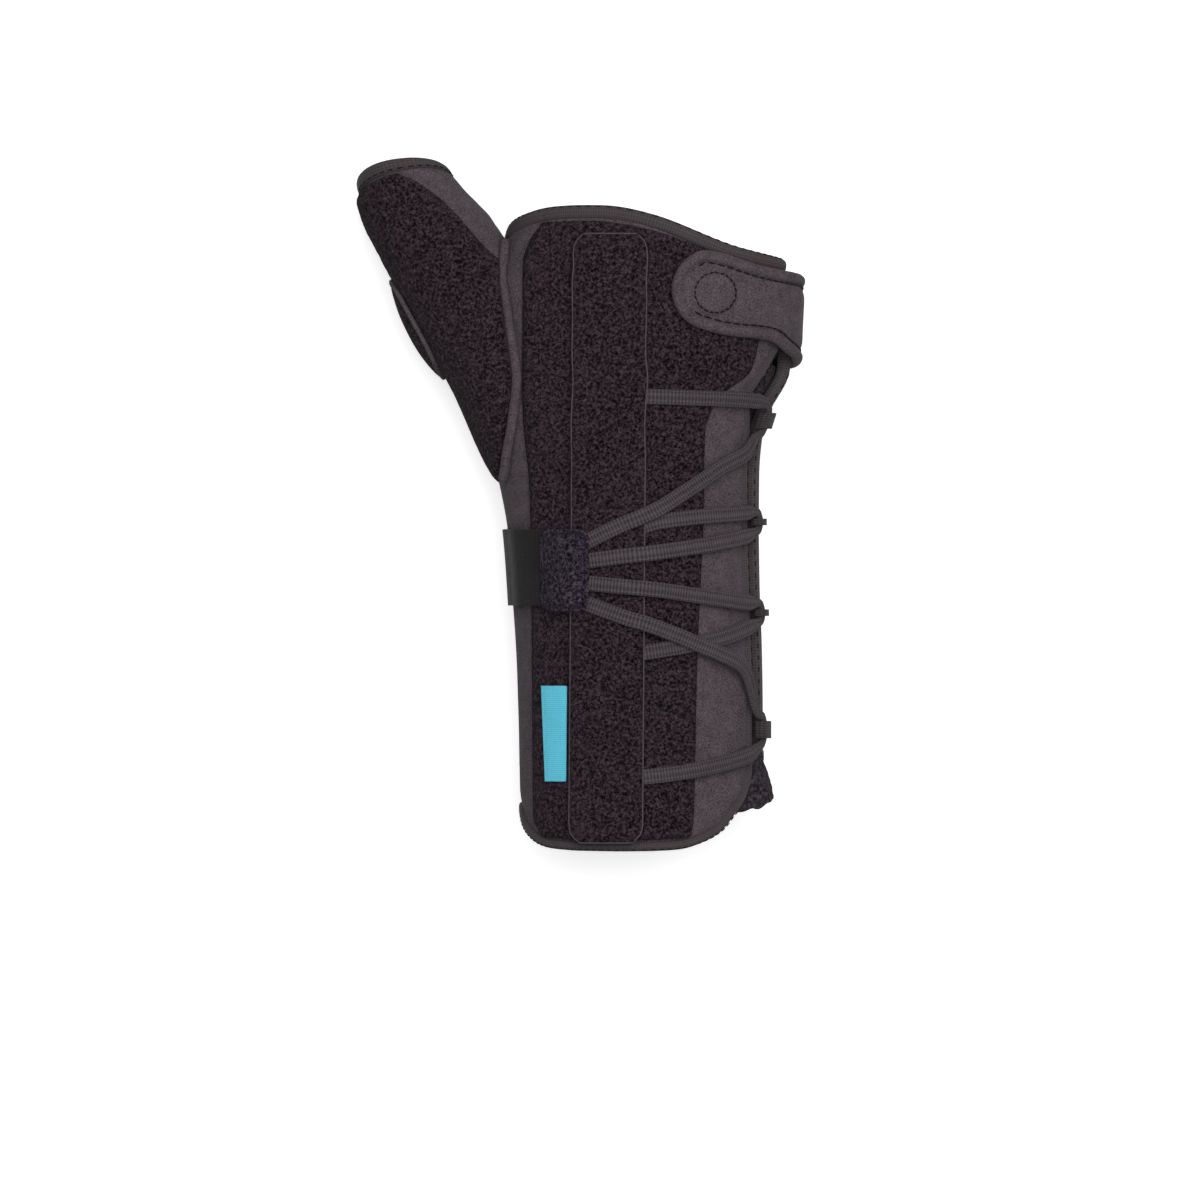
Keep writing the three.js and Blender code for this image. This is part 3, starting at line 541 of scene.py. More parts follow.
# %% Ribs of a woven or knitted band
def make_ribs_group():
    """Ribs on a piece's own map: crosswise picks and lengthwise cords, in millimetres of cloth."""
    group, given, made = new_group(
        "ribs",
        {"Map": "vector", "Pick": "value", "Cord": "value", "Slant": "value"},
        {"Height": "value"},
    )
    parts = add_node(group, "ShaderNodeSeparateXYZ", {"Vector": given.outputs["Map"]})
    across = add_node(
        group, "ShaderNodeMath", {0: parts.outputs["X"], 1: MAP_SPAN * 2 * math.pi}, operation="MULTIPLY"
    )
    length = add_node(
        group, "ShaderNodeMath", {0: parts.outputs["Y"], 1: MAP_SPAN * 2 * math.pi}, operation="MULTIPLY"
    )
    cord_turn = add_node(
        group, "ShaderNodeMath", {0: across.outputs[0], 1: given.outputs["Cord"]}, operation="DIVIDE"
    )
    pick_turn = add_node(
        group, "ShaderNodeMath", {0: length.outputs[0], 1: given.outputs["Pick"]}, operation="DIVIDE"
    )
    slanted = add_node(
        group,
        "ShaderNodeMath",
        {0: cord_turn.outputs[0], 1: given.outputs["Slant"], 2: pick_turn.outputs[0]},
        operation="MULTIPLY_ADD",
    )
    waves = []
    for turn in (slanted, cord_turn):
        wave = add_node(group, "ShaderNodeMath", {0: turn.outputs[0]}, operation="SINE")
        share = add_node(
            group, "ShaderNodeMath", {0: wave.outputs[0], 1: 0.5, 2: 0.5}, operation="MULTIPLY_ADD"
        )
        waves.append(share.outputs[0])
    height = sum_of(group, *waves, 0.6, 0.4)
    group.links.new(height, made.inputs["Height"])
    return group


# %% Lint and handling
def make_lint_group():
    """What dark cloth gathers: pale specks of lint, and large patches that are a little paler."""
    group, given, made = new_group(
        "lint",
        {"Place": "vector", "Cloth": "colour", "Pale": "colour", "Amount": "value"},
        {"Color": "colour"},
    )
    patches = add_node(
        group,
        "ShaderNodeTexNoise",
        {"Vector": given.outputs["Place"], "Scale": 38.0, "Detail": 3.0, "Roughness": 0.6},
    )
    specks = add_node(
        group,
        "ShaderNodeTexNoise",
        {"Vector": given.outputs["Place"], "Scale": 900.0, "Detail": 1.0, "Roughness": 0.5},
    )
    patch = add_node(
        group, "ShaderNodeMapRange", {"Value": patches.outputs["Fac"], "From Min": 0.45, "From Max": 0.75,
                                      "To Max": 0.5}
    )
    speck = add_node(
        group, "ShaderNodeMapRange", {"Value": specks.outputs["Fac"], "From Min": 0.68, "From Max": 0.78}
    )
    both = add_node(
        group,
        "ShaderNodeMath",
        {0: patch.outputs[0], 1: speck.outputs[0]},
        operation="ADD",
        use_clamp=True,
    )
    share = add_node(
        group, "ShaderNodeMath", {0: both.outputs[0], 1: given.outputs["Amount"]}, operation="MULTIPLY"
    )
    blend = add_node(group, "ShaderNodeMix", {"Factor": share.outputs[0]}, data_type="RGBA")
    colour_in = [s for s in blend.inputs if s.name == "A" and s.type == "RGBA"][0]
    pale_in = [s for s in blend.inputs if s.name == "B" and s.type == "RGBA"][0]
    group.links.new(given.outputs["Cloth"], colour_in)
    group.links.new(given.outputs["Pale"], pale_in)
    result = [s for s in blend.outputs if s.type == "RGBA"][0]
    group.links.new(result, made.inputs["Color"])
    return group


LOOP_PILE = make_loop_pile_group()
KNIT_FACE = make_knit_group()
RIBS = make_ribs_group()
LINT = make_lint_group()
LINT_SHADE = paint(112, 103, 110)
print("node groups:", [group.name for group in bpy.data.node_groups])


# %% A cloth material
def new_cloth(name, roughness, sheen, shine):
    """A material with the plain values of cloth, and the coordinates that its grain reads."""
    material = bpy.data.materials.new(name)
    material.use_nodes = True
    tree = material.node_tree
    surface = tree.nodes["Principled BSDF"]
    surface.inputs["Roughness"].default_value = roughness
    surface.inputs["Sheen Weight"].default_value = sheen
    surface.inputs["Sheen Roughness"].default_value = 0.5
    surface.inputs["Specular IOR Level"].default_value = shine
    place = add_node(tree, "ShaderNodeTexCoord")
    return material, tree, surface, place


def raise_by(tree, surface, height, distance):
    """Feeds a height, in millimetres from low to high, to the surface as relief."""
    bump = add_node(tree, "ShaderNodeBump", {"Height": height, "Distance": distance * MM})
    tree.links.new(bump.outputs["Normal"], surface.inputs["Normal"])


def dust(tree, surface, place, colour, pale, amount):
    """Strews lint over a colour, and gives the result to the surface."""
    dusty = add_node(
        tree,
        "ShaderNodeGroup",
        {"Place": place.outputs["Object"], "Cloth": colour, "Pale": pale, "Amount": amount},
        node_tree=LINT,
    )
    tree.links.new(dusty.outputs["Color"], surface.inputs["Base Color"])


def pile_finish(name, hollow, loop, loops=1050.0):
    material, tree, surface, place = new_cloth(name, 1.0, 0.03, 0.05)
    inputs = {"Place": place.outputs["Object"], "Loops": loops}
    pile = add_node(tree, "ShaderNodeGroup", inputs, node_tree=LOOP_PILE)
    # Painted shade and highlight: hollow colours the low places of the pile and loop the tops of its loops,
    # following their height.
    colour = shades(tree, pile.outputs["Loop"], [(0.0, hollow), (1.0, loop)])
    dust(tree, surface, place, colour, paint(96, 88, 94), 0.06)
    raise_by(tree, surface, pile.outputs["Height"], 1.2)
    return material


def knit_finish(name, dark, pale, stitches=2000.0):
    material, tree, surface, place = new_cloth(name, 0.9, 0.04, 0.12)
    inputs = {"Place": place.outputs["Object"], "Stitches": stitches}
    knit = add_node(tree, "ShaderNodeGroup", inputs, node_tree=KNIT_FACE)
    colour = shades(tree, knit.outputs["Mottle"], [(0.0, dark), (1.0, pale)])
    dust(tree, surface, place, colour, LINT_SHADE, 0.08)
    raise_by(tree, surface, knit.outputs["Height"], 0.25)
    return material


def ribbed_finish(name, dark, pale, pick, cord, slant=0.0, relief=0.25, lint=0.1):
    material, tree, surface, place = new_cloth(name, 0.8, 0.04, 0.18)
    inputs = {"Map": place.outputs["UV"], "Pick": pick, "Cord": cord, "Slant": slant}
    ribs = add_node(tree, "ShaderNodeGroup", inputs, node_tree=RIBS)
    inputs = {"Place": place.outputs["Object"], "Stitches": 1800.0}
    knit = add_node(tree, "ShaderNodeGroup", inputs, node_tree=KNIT_FACE)
    shade = sum_of(tree, ribs.outputs["Height"], knit.outputs["Mottle"], 0.65, 0.35)
    colour = shades(tree, shade, [(0.15, dark), (0.85, pale)])
    dust(tree, surface, place, colour, LINT_SHADE, lint)
    raise_by(tree, surface, ribs.outputs["Height"], relief)
    return material


# %% The splint's finishes
# The pile finishes (pile, lining, tongue terry, tab end cloth) paint shade into the hollows between their
# loops and a highlight on the loops' tops.
PILE = pile_finish("brushed_loop_pile", paint(3, 1, 2), paint(78, 63, 72))
LINING = pile_finish("brushed_lining", paint(20, 17, 19), paint(58, 52, 56), loops=1200.0)
TONGUE_CLOTH = pile_finish("tongue_terry", paint(24, 20, 25), paint(82, 73, 82), loops=760.0)
KNIT = knit_finish("smooth_knit", paint(28, 22, 26), paint(104, 93, 100))
TAPE_CLOTH = ribbed_finish("binding_tape", paint(52, 46, 48), paint(76, 68, 70), 0.7, 0.9, relief=0.06)
LACE_KNIT = ribbed_finish("flat_lace", paint(36, 31, 34), paint(82, 74, 79), 0.88, 1.0, relief=0.16)
GUIDE_CLOTH = ribbed_finish("guide_webbing", paint(38, 34, 36), paint(66, 60, 63), 0.8, 0.9)
WEBBING = ribbed_finish("tab_webbing", paint(13, 12, 12), paint(25, 23, 22), 0.8, 0.9, slant=1.0, relief=0.12)
END_CLOTH = pile_finish("tab_end_cloth", paint(10, 8, 14), paint(86, 75, 88), loops=900.0)
LABEL_WEAVE = ribbed_finish("blue_label", paint(80, 182, 210), paint(110, 210, 232), 0.6, 0.5,
                            relief=0.08, lint=0.0)
THREAD = knit_finish("sewing_thread", paint(12, 10, 12), paint(30, 26, 30), stitches=2600.0)
BLUE_THREAD = knit_finish("blue_black_thread", paint(14, 13, 26), paint(34, 32, 52), stitches=2600.0)
PALE_THREAD = knit_finish("selvage_thread", paint(66, 60, 64), paint(92, 84, 89), stitches=2600.0)
print("finishes:", len(bpy.data.materials))

# %% [markdown]
# ## The padded wrap
#
# The wrap is a laminate: knit outside, brushed lining inside, 3.4 mm of foam between. It could be one
# closed solid with painted edges, but its edge is what shows the foam. So the outer face is bent from
# one grid, from the palm-side lacing edge round the palm to the back's edge, pulled in where the tape
# presses the foam, and a thickness is given to it inwards. The thumb's opening is cut where the thumb
# tube passes: the faces inside the tube's hollow are taken out before the thickness comes.

# %% Heights of the layers over the wrap's outer face
PILE_HIGH, POCKET_HIGH = 1.7, 4.4
LACE_LOW, LACE_HIGH = 2.2, 4.9
STRAP, PILE_THICK = 2.4, 1.9
ROUND_THE_WRAP, LENGTH_OF_WRAP = 250, 190


# %% Hollows of the form
def closed_core(form, columns, rows):
    """A closed solid of a form, form(u, v), to ask what lies inside it."""
    bm = bent_grid(columns, rows, lambda u, v, up: form(u, v))
    bmesh.ops.remove_doubles(bm, verts=bm.verts[:], dist=0.01)
    bmesh.ops.holes_fill(bm, edges=[e for e in bm.edges if e.is_boundary], sides=0)
    bmesh.ops.recalc_face_normals(bm, faces=bm.faces[:])
    bmesh.ops.triangulate(bm, faces=bm.faces[:])
    return BVHTree.FromBMesh(bm)


def lies_inside(core, point):
    spot, normal, _, _ = core.find_nearest(point)
    return (point - spot).dot(normal) < 0


def drop_faces_inside(bm, core, allowed=lambda point: True):
    """Takes out the faces whose middle lies inside a core, where that is allowed."""
    middles = {face: face.calc_center_median() for face in bm.faces}
    inside = [face for face, middle in middles.items() if allowed(middle) and lies_inside(core, middle)]
    bmesh.ops.delete(bm, geom=inside, context="FACES")
    return len(inside)


def before_the_seam(point):
    """Whether a point lies on the thumb's side of the seam, or below it on the palm side."""
    return point.x < 0 and (point.z < SEAM_LEVEL or point.x < along(SEAM, "x", point.y) - 1)


thumb_hollow = closed_core(lambda u, v: thumb(u * 360, mix(-0.2, 1.3, v), -WALL / 2), 40, 24)
hand_hollow = closed_core(lambda u, v: wrap(u * 360, mix(60, 204, v), -WALL), 60, 36)
under_knit = closed_core(lambda u, v: wrap(u * 360, mix(60, 204, v), -1.0), 60, 36)


# %% The wrap
def press_at_edge(distance, reach, depth):
    """How far cloth is pulled in at a distance from its bound or sewn edge."""
    return depth * (1 - ramp(distance, 0, reach))


def place_wrap(u, v, up):
    angle, y = wrap_spot(u, v)
    sides = min(u, 1 - u) * ROUND_THE_WRAP
    ends = min(v, 1 - v) * LENGTH_OF_WRAP
    pull = press_at_edge(min(sides, ends), 5, 0.9)
    on_the_back = ramp(math.sin(math.radians(angle)), -0.2, 0.3)
    ripple = 0.5 * on_the_back * noise.noise(Vector((angle * 0.04, y * 0.06, 3.1)))
    return wrap(angle, y, up - pull + ripple)


def make_wrap():
    bm = bent_grid(96, 74, place_wrap)
    taken = drop_faces_inside(bm, thumb_hollow, before_the_seam)
    piece = piece_from(bm, "wrap_body", KNIT, LINING)
    thicken(piece, WALL, lining=True)
    soften(piece)
    settle(piece, "smooth_cloth", "wrap_laminate")
    print("faces taken out for the thumb:", taken)


make_wrap()

# %% [markdown]
# ## Binding tape and its stitches
#
# Every raw edge of the laminate is wrapped in a knitted tape, and one line of stitches holds it. The
# tape could be a strip folded over; seen from outside only its rounded edge shows, so it is a squarish
# tube along the edge. A stitch is a short thread, pressed into the tape at both ends: a small stretched
# ball, set along the same route at the real stitch length.


# %% The edges as routes
def edge_route():
    """Down the palm-side lacing edge, round the hem, and up the back's edge."""
    stations, side_stations, top = 46, 10, 0.965
    spots = []
    for k in range(stations + 1):
        from_end = min(k, stations - k)
        round_share = (k - side_stations) / (stations - 2 * side_stations)
        u = round_share if from_end >= side_stations else round(k / stations)
        spots.append(wrap_spot(u, top * max(0, 1 - from_end / side_stations)))
    return smooth_route(spots)


def at_lift(route, lift):
    return lambda t: (*route(t), lift)


EDGE_ROUTE = edge_route()
RIM_ROUTE = smooth_route([wrap_spot(k / 40, 1) for k in range(41)])


# %% Sewing
UNSEWN_END = 0.022


def length_of(form, route):
    steps = 80
    spots = [form(*route(k / steps)) for k in range(steps + 1)]
    return sum((b - a).length for a, b in zip(spots, spots[1:]))


def sew(name, slot, form, route, stitch=2.1, pitch=2.9, thread=0.42, finish=None, zigzag=0.0):
    """Stitches along a route. A zigzag is the angle, in degrees, that they turn to either side."""
    bm = bmesh.new()
    count = max(2, round(length_of(form, route) / pitch))
    for k in range(count):
        point, forward, across, out = frame_on(form, route, (k + 0.5) / count)
        axes = Matrix((forward, across, out)).transposed().to_4x4()
        lean = Matrix.Rotation(math.radians(zigzag if k % 2 else -zigzag), 4, "Z")
        size = Matrix.Diagonal((stitch / 2, thread / 2, thread / 2.2, 1))
        place = Matrix.Translation(point) @ axes @ lean @ size
        bmesh.ops.create_uvsphere(bm, u_segments=6, v_segments=5, radius=1, matrix=place)
    print(name, "stitches:", count)
    return settle(piece_from(bm, name, finish or THREAD), slot)


# %% Tape round the wrap
def tape_section(width, end_share):
    """A tape's squarish section, drawn in round at both of its ends."""
    whole = oval(width, WALL + 2 * TAPE, 2.8)

    def section(turn, t):
        from_end = min(1, min(t, 1 - t) / end_share)
        size = max(0.15, math.sqrt(1 - (1 - from_end) ** 2))
        side, height = whole(turn, t)
        return side * size, height * size

    return section


def make_tapes():
    for name, route, width, node, rings in (
        ("hem_tape", EDGE_ROUTE, EDGE_WIDTH, "edge_binding", 260),
        ("rim_tape", RIM_ROUTE, RIM_WIDTH, "rim_binding", 170),
    ):
        section = tape_section(width, 1.8 / rings)
        bm = bent_tube(rings, 14, wrap, at_lift(route, -WALL / 2), section)
        settle(piece_from(bm, name, TAPE_CLOTH), "binding_tape", node)


def inset_route(route, form, inset, lift):
    """A route moved sideways over a form, as a list of spots joined smoothly."""
    spots = []
    for k in range(91):
        t, small = mix(UNSEWN_END, 1 - UNSEWN_END, k / 90), 1e-3
        a, b = route(t)
        forward = Vector(route(t + small)) - Vector(route(t - small))
        wide = (form(a + 0.5, b, 0) - form(a - 0.5, b, 0)).length
        way = Vector((forward.x * wide, forward.y)).normalized()
        spots.append((a - way.y * inset / wide, b + way.x * inset))
    return at_lift(smooth_route(spots), lift)


make_tapes()
sew("hem_stitches", "binding_tape", wrap, inset_route(EDGE_ROUTE, wrap, 1.05, TAPE - 0.25))
sew("rim_stitches", "binding_tape", wrap, inset_route(RIM_ROUTE, wrap, -1.75, TAPE - 0.3))

# %% [markdown]
# ## The tongue
#
# Between the two lacing edges lies a tongue of thick brushed terry, which spreads out of the gap at the
# forearm. It is padded, with an unbound, slightly ragged hem. A simulation could gather it; its swell is
# small and fixed by the laces, so a bent grid with the same swell as its solid is enough.

# %% The tongue's sizes
TONGUE_LOW, TONGUE_HIGH, TONGUE_BACK, TONGUE_PALM = 13.5, 152, 46, -6
TONGUE_THICK, TONGUE_SWELL, SWELL_TOP, SWELL_ANGLE = 2.2, 8.2, 44, 8


def loops_at(point, size, height):
    """The relief of loop pile at a point: loops of a size and height in millimetres."""
    return height * noise.noise(point / size) + 0.5 * height * noise.noise(point / size * 2.3)


def place_tongue(u, v, up):
    ragged = 0.9 * noise.noise(Vector((u * 14, 0.5, 2))) * (1 - ramp(v, 0, 0.08))
    angle = mix(TONGUE_PALM, TONGUE_BACK, u)
    slope = 4.5 * (1 - ramp(angle, -2, 34)) * (1 - ramp(v, 0, 0.2)) - 1
    y = mix(TONGUE_LOW, TONGUE_HIGH, v**1.2) + ragged + slope
    lean = min(90, max(-90, (angle - SWELL_ANGLE) * 3.2))
    low_down = 1 - ramp(y, TONGUE_LOW + 2, SWELL_TOP)
    swell = TONGUE_SWELL * low_down * math.cos(math.radians(lean))
    fold = 0.35 * math.sin(v * 34 + 2 * u) * (1 - low_down) + 0.4 * noise.noise(Vector((u * 3, v * 12, 1)))
    point = wrap(angle, y, swell - WALL - 1 + fold + up)
    return wrap(angle, y, swell - WALL - 1 + fold + up + loops_at(point, 1.3, 0.35))


def make_tongue():
    piece = piece_from(bent_grid(34, 140, place_tongue), "tongue_pad", TONGUE_CLOTH)
    thicken(piece, TONGUE_THICK)
    soften(piece)
    settle(piece, "pile_cloth", "tongue")


make_tongue()

# %% [markdown]
# ## Pile field and stay pocket
#
# The whole back of the wrap is covered in loop pile, which the hooks of the straps grip, and the pocket
# that holds the metal stay lies on it, with a pale selvage line. Hair particles could make the loops, but
# the model keeps meshes only. The loops are relief in the mesh at their real size, with finer relief and
# the speckle of lit loops left to the material.

# %% The pile field
FieldRow = namedtuple("FieldRow", "y left right")
PILE_FIELD = [
    FieldRow(4, -20.5, 25.5), FieldRow(9, -23.2, 26.4), FieldRow(62, -23.6, 27.6),
    FieldRow(109, -24.2, 29.6), FieldRow(136, -26.4, 30.0), FieldRow(143, -26.5, 32.0),
    FieldRow(150, -26.5, 36.6), FieldRow(157, -26.5, 44.0), FieldRow(164, -26.5, 46.0),
    FieldRow(182, -26.4, 48.0), FieldRow(189, -24.2, 47.6), FieldRow(194, -20.3, 46.0),
]


def place_pile(u, v, up):
    y = mix(PILE_FIELD[0].y, PILE_FIELD[-1].y, v)
    x = mix(along(PILE_FIELD, "left", y), along(PILE_FIELD, "right", y), u)
    angle = angle_at(x, y, PILE_HIGH)
    low = along(HEM, "y", angle) + EDGE_WIDTH + 0.6
    high = along(RIM, "y", angle) - RIM_WIDTH - 0.6
    y = mix(low, high, v)
    edge = press_at_edge(min(min(u, 1 - u) * 56, min(v, 1 - v) * 190), 1.6, 0.7)
    rough = loops_at(Vector((x, y, 7)), 1.4, 0.12)
    return on_back(x, y, PILE_HIGH - edge + rough + up)


def make_pile_field():
    piece = piece_from(bent_grid(66, 220, place_pile), "pile_panel", PILE)
    thicken(piece, PILE_THICK)
    settle(piece, "pile_cloth", "pile_field")


make_pile_field()

# %% The stay pocket
POCKET_BOTTOM, POCKET_TOP, POCKET_CORNER = 2.9, 191.6, 5.6
POCKET_LEFT, POCKET_RIGHT = (-12.7, -11.2), (10.8, 12.3)


def pocket_sides(y):
    """The pocket's left and right edge at y, drawn in at its rounded corners."""
    share = (y - POCKET_BOTTOM) / (POCKET_TOP - POCKET_BOTTOM)
    left, right = mix(*POCKET_LEFT, share), mix(*POCKET_RIGHT, share)
    end = max(0, min(y - POCKET_BOTTOM, POCKET_TOP - y))
    inset = 0
    if end < POCKET_CORNER:
        inset = POCKET_CORNER - math.sqrt(POCKET_CORNER**2 - (POCKET_CORNER - end) ** 2)
    return left + inset, right - inset


def place_pocket(u, v, up):
    y = mix(POCKET_BOTTOM, POCKET_TOP, v)
    left, right = pocket_sides(y)
    x = mix(left, right, u)
    edge = min(min(u, 1 - u) * (right - left), min(v, 1 - v) * (POCKET_TOP - POCKET_BOTTOM))
    rough = loops_at(Vector((x, y, 19)), 1.4, 0.12)
    return on_back(x, y, POCKET_HIGH - press_at_edge(edge, 2.2, 0.8) + rough + up)


def pocket_outline(inset=0.2):
    """Round the pocket's outline once, as angle and y."""
    rows = [POCKET_BOTTOM + inset + d for d in (0, 0.5, 1.5, 3, 5.6)]
    rows += [mix(POCKET_BOTTOM + 12, POCKET_TOP - 12, k / 12) for k in range(13)]
    rows += [POCKET_TOP - inset - d for d in (5.6, 3, 1.5, 0.5, 0)]
    left = [(pocket_sides(y)[0] + inset, y) for y in rows]
    right = [(pocket_sides(y)[1] - inset, y) for y in reversed(rows)]
    return smooth_route([(angle_at(x, y, POCKET_HIGH), y) for x, y in left + right], closed=True)


def make_pocket():
    piece = piece_from(bent_grid(30, 220, place_pocket), "stay_pocket_cloth", PILE)
    thicken(piece, 2.2)
    settle(piece, "pile_cloth", "stay_pocket")
    edge = bent_tube(330, 6, wrap, at_lift(pocket_outline(), POCKET_HIGH - 0.75), oval(0.5, 0.5))
    settle(piece_from(edge, "pocket_selvage", PALE_THREAD), "pile_cloth")


make_pocket()

# %% [markdown]
# ## The thumb tube
#
# A tube of the same laminate holds the thumb. Its back and outer side carry loop pile, its web side is
# smooth, its mouth is bound, and it is sewn to the wrap under a piping cord. A strap comes round its outer
# side, with a pale edge that lies on the pile. It could be joined to the
# wrap by a boolean; two cloths that meet in a seam are clearer as two pieces, so the tube's cloth is
# turned down into the seam and stops inside the wrap's thickness.


# %% The tube and its mouth
def place_tube(u, v, up):
    share = mix(RIM_SHARE - 0.02, 1.15, v)
    turn = u * 2 * math.pi
    round_tube = Vector((1.4 * math.cos(turn), 1.4 * math.sin(turn), v * 5))
    creases = 0.5 * noise.noise(round_tube) * ramp(v, 0.05, 0.3)
    pull = press_at_edge(v * 60, 3, 0.6)
    return tucked(thumb(u * 360, share, up + creases - pull))


def make_tube():
    bm = bent_grid(76, 60, place_tube)
    bmesh.ops.remove_doubles(bm, verts=bm.verts[:], dist=0.01)
    drop_faces_inside(bm, hand_hollow)
    piece = piece_from(bm, "thumb_sleeve", KNIT, LINING)
    thicken(piece, WALL, lining=True)
    soften(piece)
    settle(piece, "smooth_cloth", "thumb_tube")


def place_mouth(u, v, up):
    turn = v * 2 * math.pi
    half_share = (RIM_SHARE - 0.012) / 2
    share = half_share + half_share * signed_power(math.sin(turn), 0.7)
    lift = -WALL / 2 + (WALL / 2 + TAPE) * signed_power(math.cos(turn), 0.7)
    return thumb(u * 360, share, lift + up)


def make_mouth():
    bm = bent_grid(90, 18, place_mouth)
    bmesh.ops.remove_doubles(bm, verts=bm.verts[:], dist=0.01)
    bmesh.ops.recalc_face_normals(bm, faces=bm.faces[:])
    settle(piece_from(bm, "thumb_mouth_tape", TAPE_CLOTH), "binding_tape", "thumb_binding")


make_tube()
make_mouth()
sew("thumb_mouth_stitches", "binding_tape", thumb, lambda t: (t * 360, RIM_SHARE - 0.022, TAPE - 0.25))

# %% The thumb's pile, its strap and the piping
ThumbPileRow = namedtuple("ThumbPileRow", "share web outer")
THUMB_PILE = [
    ThumbPileRow(0.05, 105, 206), ThumbPileRow(0.2, 78, 210), ThumbPileRow(0.4, 63, 214),
    ThumbPileRow(0.6, 56, 216), ThumbPileRow(0.8, 50, 214), ThumbPileRow(1, 37, 200),
]


def place_thumb_pile(u, v, up):
    share = mix(RIM_SHARE + 0.01, 1.1, v)
    angle = mix(along(THUMB_PILE, "web", share), along(THUMB_PILE, "outer", share), u)
    edge = press_at_edge(min(min(u, 1 - u) * 44, v * 80), 1.6, 0.7)
    spot = thumb(angle, share, 0)
    rough = loops_at(spot, 1.4, 0.12)
    return tucked(thumb(angle, share, PILE_HIGH - edge + rough + up))


def make_thumb_pile():
    bm = bent_grid(64, 110, place_thumb_pile)
    drop_faces_inside(bm, under_knit)
    piece = piece_from(bm, "thumb_pile_panel", PILE)
    thicken(piece, PILE_THICK)
    settle(piece, "pile_cloth", "thumb_pile")


THUMB_STRAP_LOW, THUMB_STRAP_HIGH, THUMB_STRAP_BACK, THUMB_STRAP_PALM = 0.47, 0.77, 161, 258
THUMB_STRAP_LIFT = PILE_HIGH + 0.5
THUMB_STRAP_THIN, THUMB_STRAP_THICK, THUMB_STRAP_BULGE = 1.0, 1.8, 2.1


def thumb_strap_back(v):
    return mix(THUMB_STRAP_BACK + 26, THUMB_STRAP_BACK, max(0, 1 - 16 * (v - 0.5) ** 4))


def thumb_strap_face(u, v, depth):
    """The strap's lift at share u round the thumb and v along it, at a share of its thickness."""
    thick = mix(THUMB_STRAP_THIN, THUMB_STRAP_THICK, ramp(v, 0, 0.35))
    bulge = THUMB_STRAP_BULGE * math.sin(math.pi * v**1.4) * ramp(u, -0.02, 0.24)
    return THUMB_STRAP_LIFT - 0.5 * (1 - ramp(u, 0, 0.12)) + bulge + thick * depth


def place_thumb_strap(u, v, up):
    share = mix(THUMB_STRAP_LOW, THUMB_STRAP_HIGH, v)
    edge = press_at_edge(min(min(u, 1 - u) * 40, min(v, 1 - v) * 30), 2.5, 0.5)
    return thumb(mix(thumb_strap_back(v), THUMB_STRAP_PALM, u), share, thumb_strap_face(u, v, 1) - edge + up)


def thumb_strap_edge(t):
    share = mix(THUMB_STRAP_LOW, THUMB_STRAP_HIGH, t)
    return thumb_strap_back(t), share, thumb_strap_face(0, t, 0.5)


def make_thumb_strap():
    piece = piece_from(bent_grid(30, 26, place_thumb_strap), "thumb_strap_cloth", PILE)
    thicken(piece, 1.2)
    soften(piece)
    settle(piece, "binding_tape", "thumb_strap")
    edge = bent_tube(40, 8, thumb, thumb_strap_edge, oval(1.0, 1.5))
    settle(piece_from(edge, "thumb_strap_edge", KNIT), "binding_tape")


def piping_route():
    spots = [(row.x, row.y) for row in reversed(SEAM)]
    lift = 2.0
    return at_lift(smooth_route([(angle_at(x, y, lift), y) for x, y in spots]), lift)


def make_piping():
    bm = bent_tube(90, 12, wrap, piping_route(), oval(3.0, 2.8, 2.3))
    settle(piece_from(bm, "seam_piping", KNIT), "binding_tape", "thumb_piping")


make_thumb_pile()
make_thumb_strap()
make_piping()

# %% [markdown]
# ## The hand strap
#
# A padded strap comes from the palm side over the little-finger side and ends rounded on the back. Its
# edge is a rolled knit, sewn down in a groove, and a round stitched patch lies over its hooks. The end is
# a half circle that runs into two almost straight sides; one grid covers both, because its first columns
# follow the half circle.

# %% The strap's outline
StrapSide = namedtuple("StrapSide", "angle low high")
STRAP_SIDES = [
    StrapSide(-42, 149.0, 174.5), StrapSide(-12, 150.4, 177.6), StrapSide(0, 151.5, 178.8),
    StrapSide(12, 152.7, 179.3), StrapSide(25, 154.7, 179.9), StrapSide(30, 156.5, 180.2),
    StrapSide(36, 158.0, 180.7), StrapSide(46, 159.0, 181.9), StrapSide(54, 159.4, 183.4),
    StrapSide(62, 160.3, 185.3), StrapSide(66, 161.0, 186.2),
]
STRAP_END_X, STRAP_END_Y, STRAP_RADIUS, STRAP_TAIL = 32.5, 174, 12.6, -42
STRAP_BEND = angle_at(STRAP_END_X, STRAP_END_Y, LACE_LOW + STRAP)


def strap_lift(angle):
    return mix(TAPE + 0.6, LACE_LOW, ramp(angle, 4, 30))


def strap_spot(u, v, inset=0.0):
    """The angle and y at shares u from the strap's round end and v across it."""
    end_share = 0.16
    if u < end_share:
        turn = math.radians(90 * u / end_share)
        radius = STRAP_RADIUS - inset
        x = STRAP_END_X - radius * math.cos(turn)
        y = STRAP_END_Y + radius * math.sin(turn) * (2 * v - 1)
        return angle_at(x, y, LACE_LOW + STRAP), y
    angle = mix(STRAP_BEND, STRAP_TAIL, (u - end_share) / (1 - end_share))
    low = along(STRAP_SIDES, "low", angle) + inset
    high = along(STRAP_SIDES, "high", angle) - inset
    return angle, mix(low, high, v)


def strap_outline(inset, lift):
    """From the strap's tail along its lower side, round its end, and back along its upper side."""
    shares = [1 - k / 26 for k in range(22)] + [0.14, 0.11, 0.08, 0.05, 0.025]
    spots = [strap_spot(u, 0, inset) for u in shares]
    spots += [strap_spot(u, 1, inset) for u in [0.0] + shares[::-1]]
    route = smooth_route(spots)

    def at(t):
        angle, y = route(t)
        return angle, y, strap_lift(angle) + lift

    return at


# %% The strap and its tape
STRAP_TAPE = 3.7


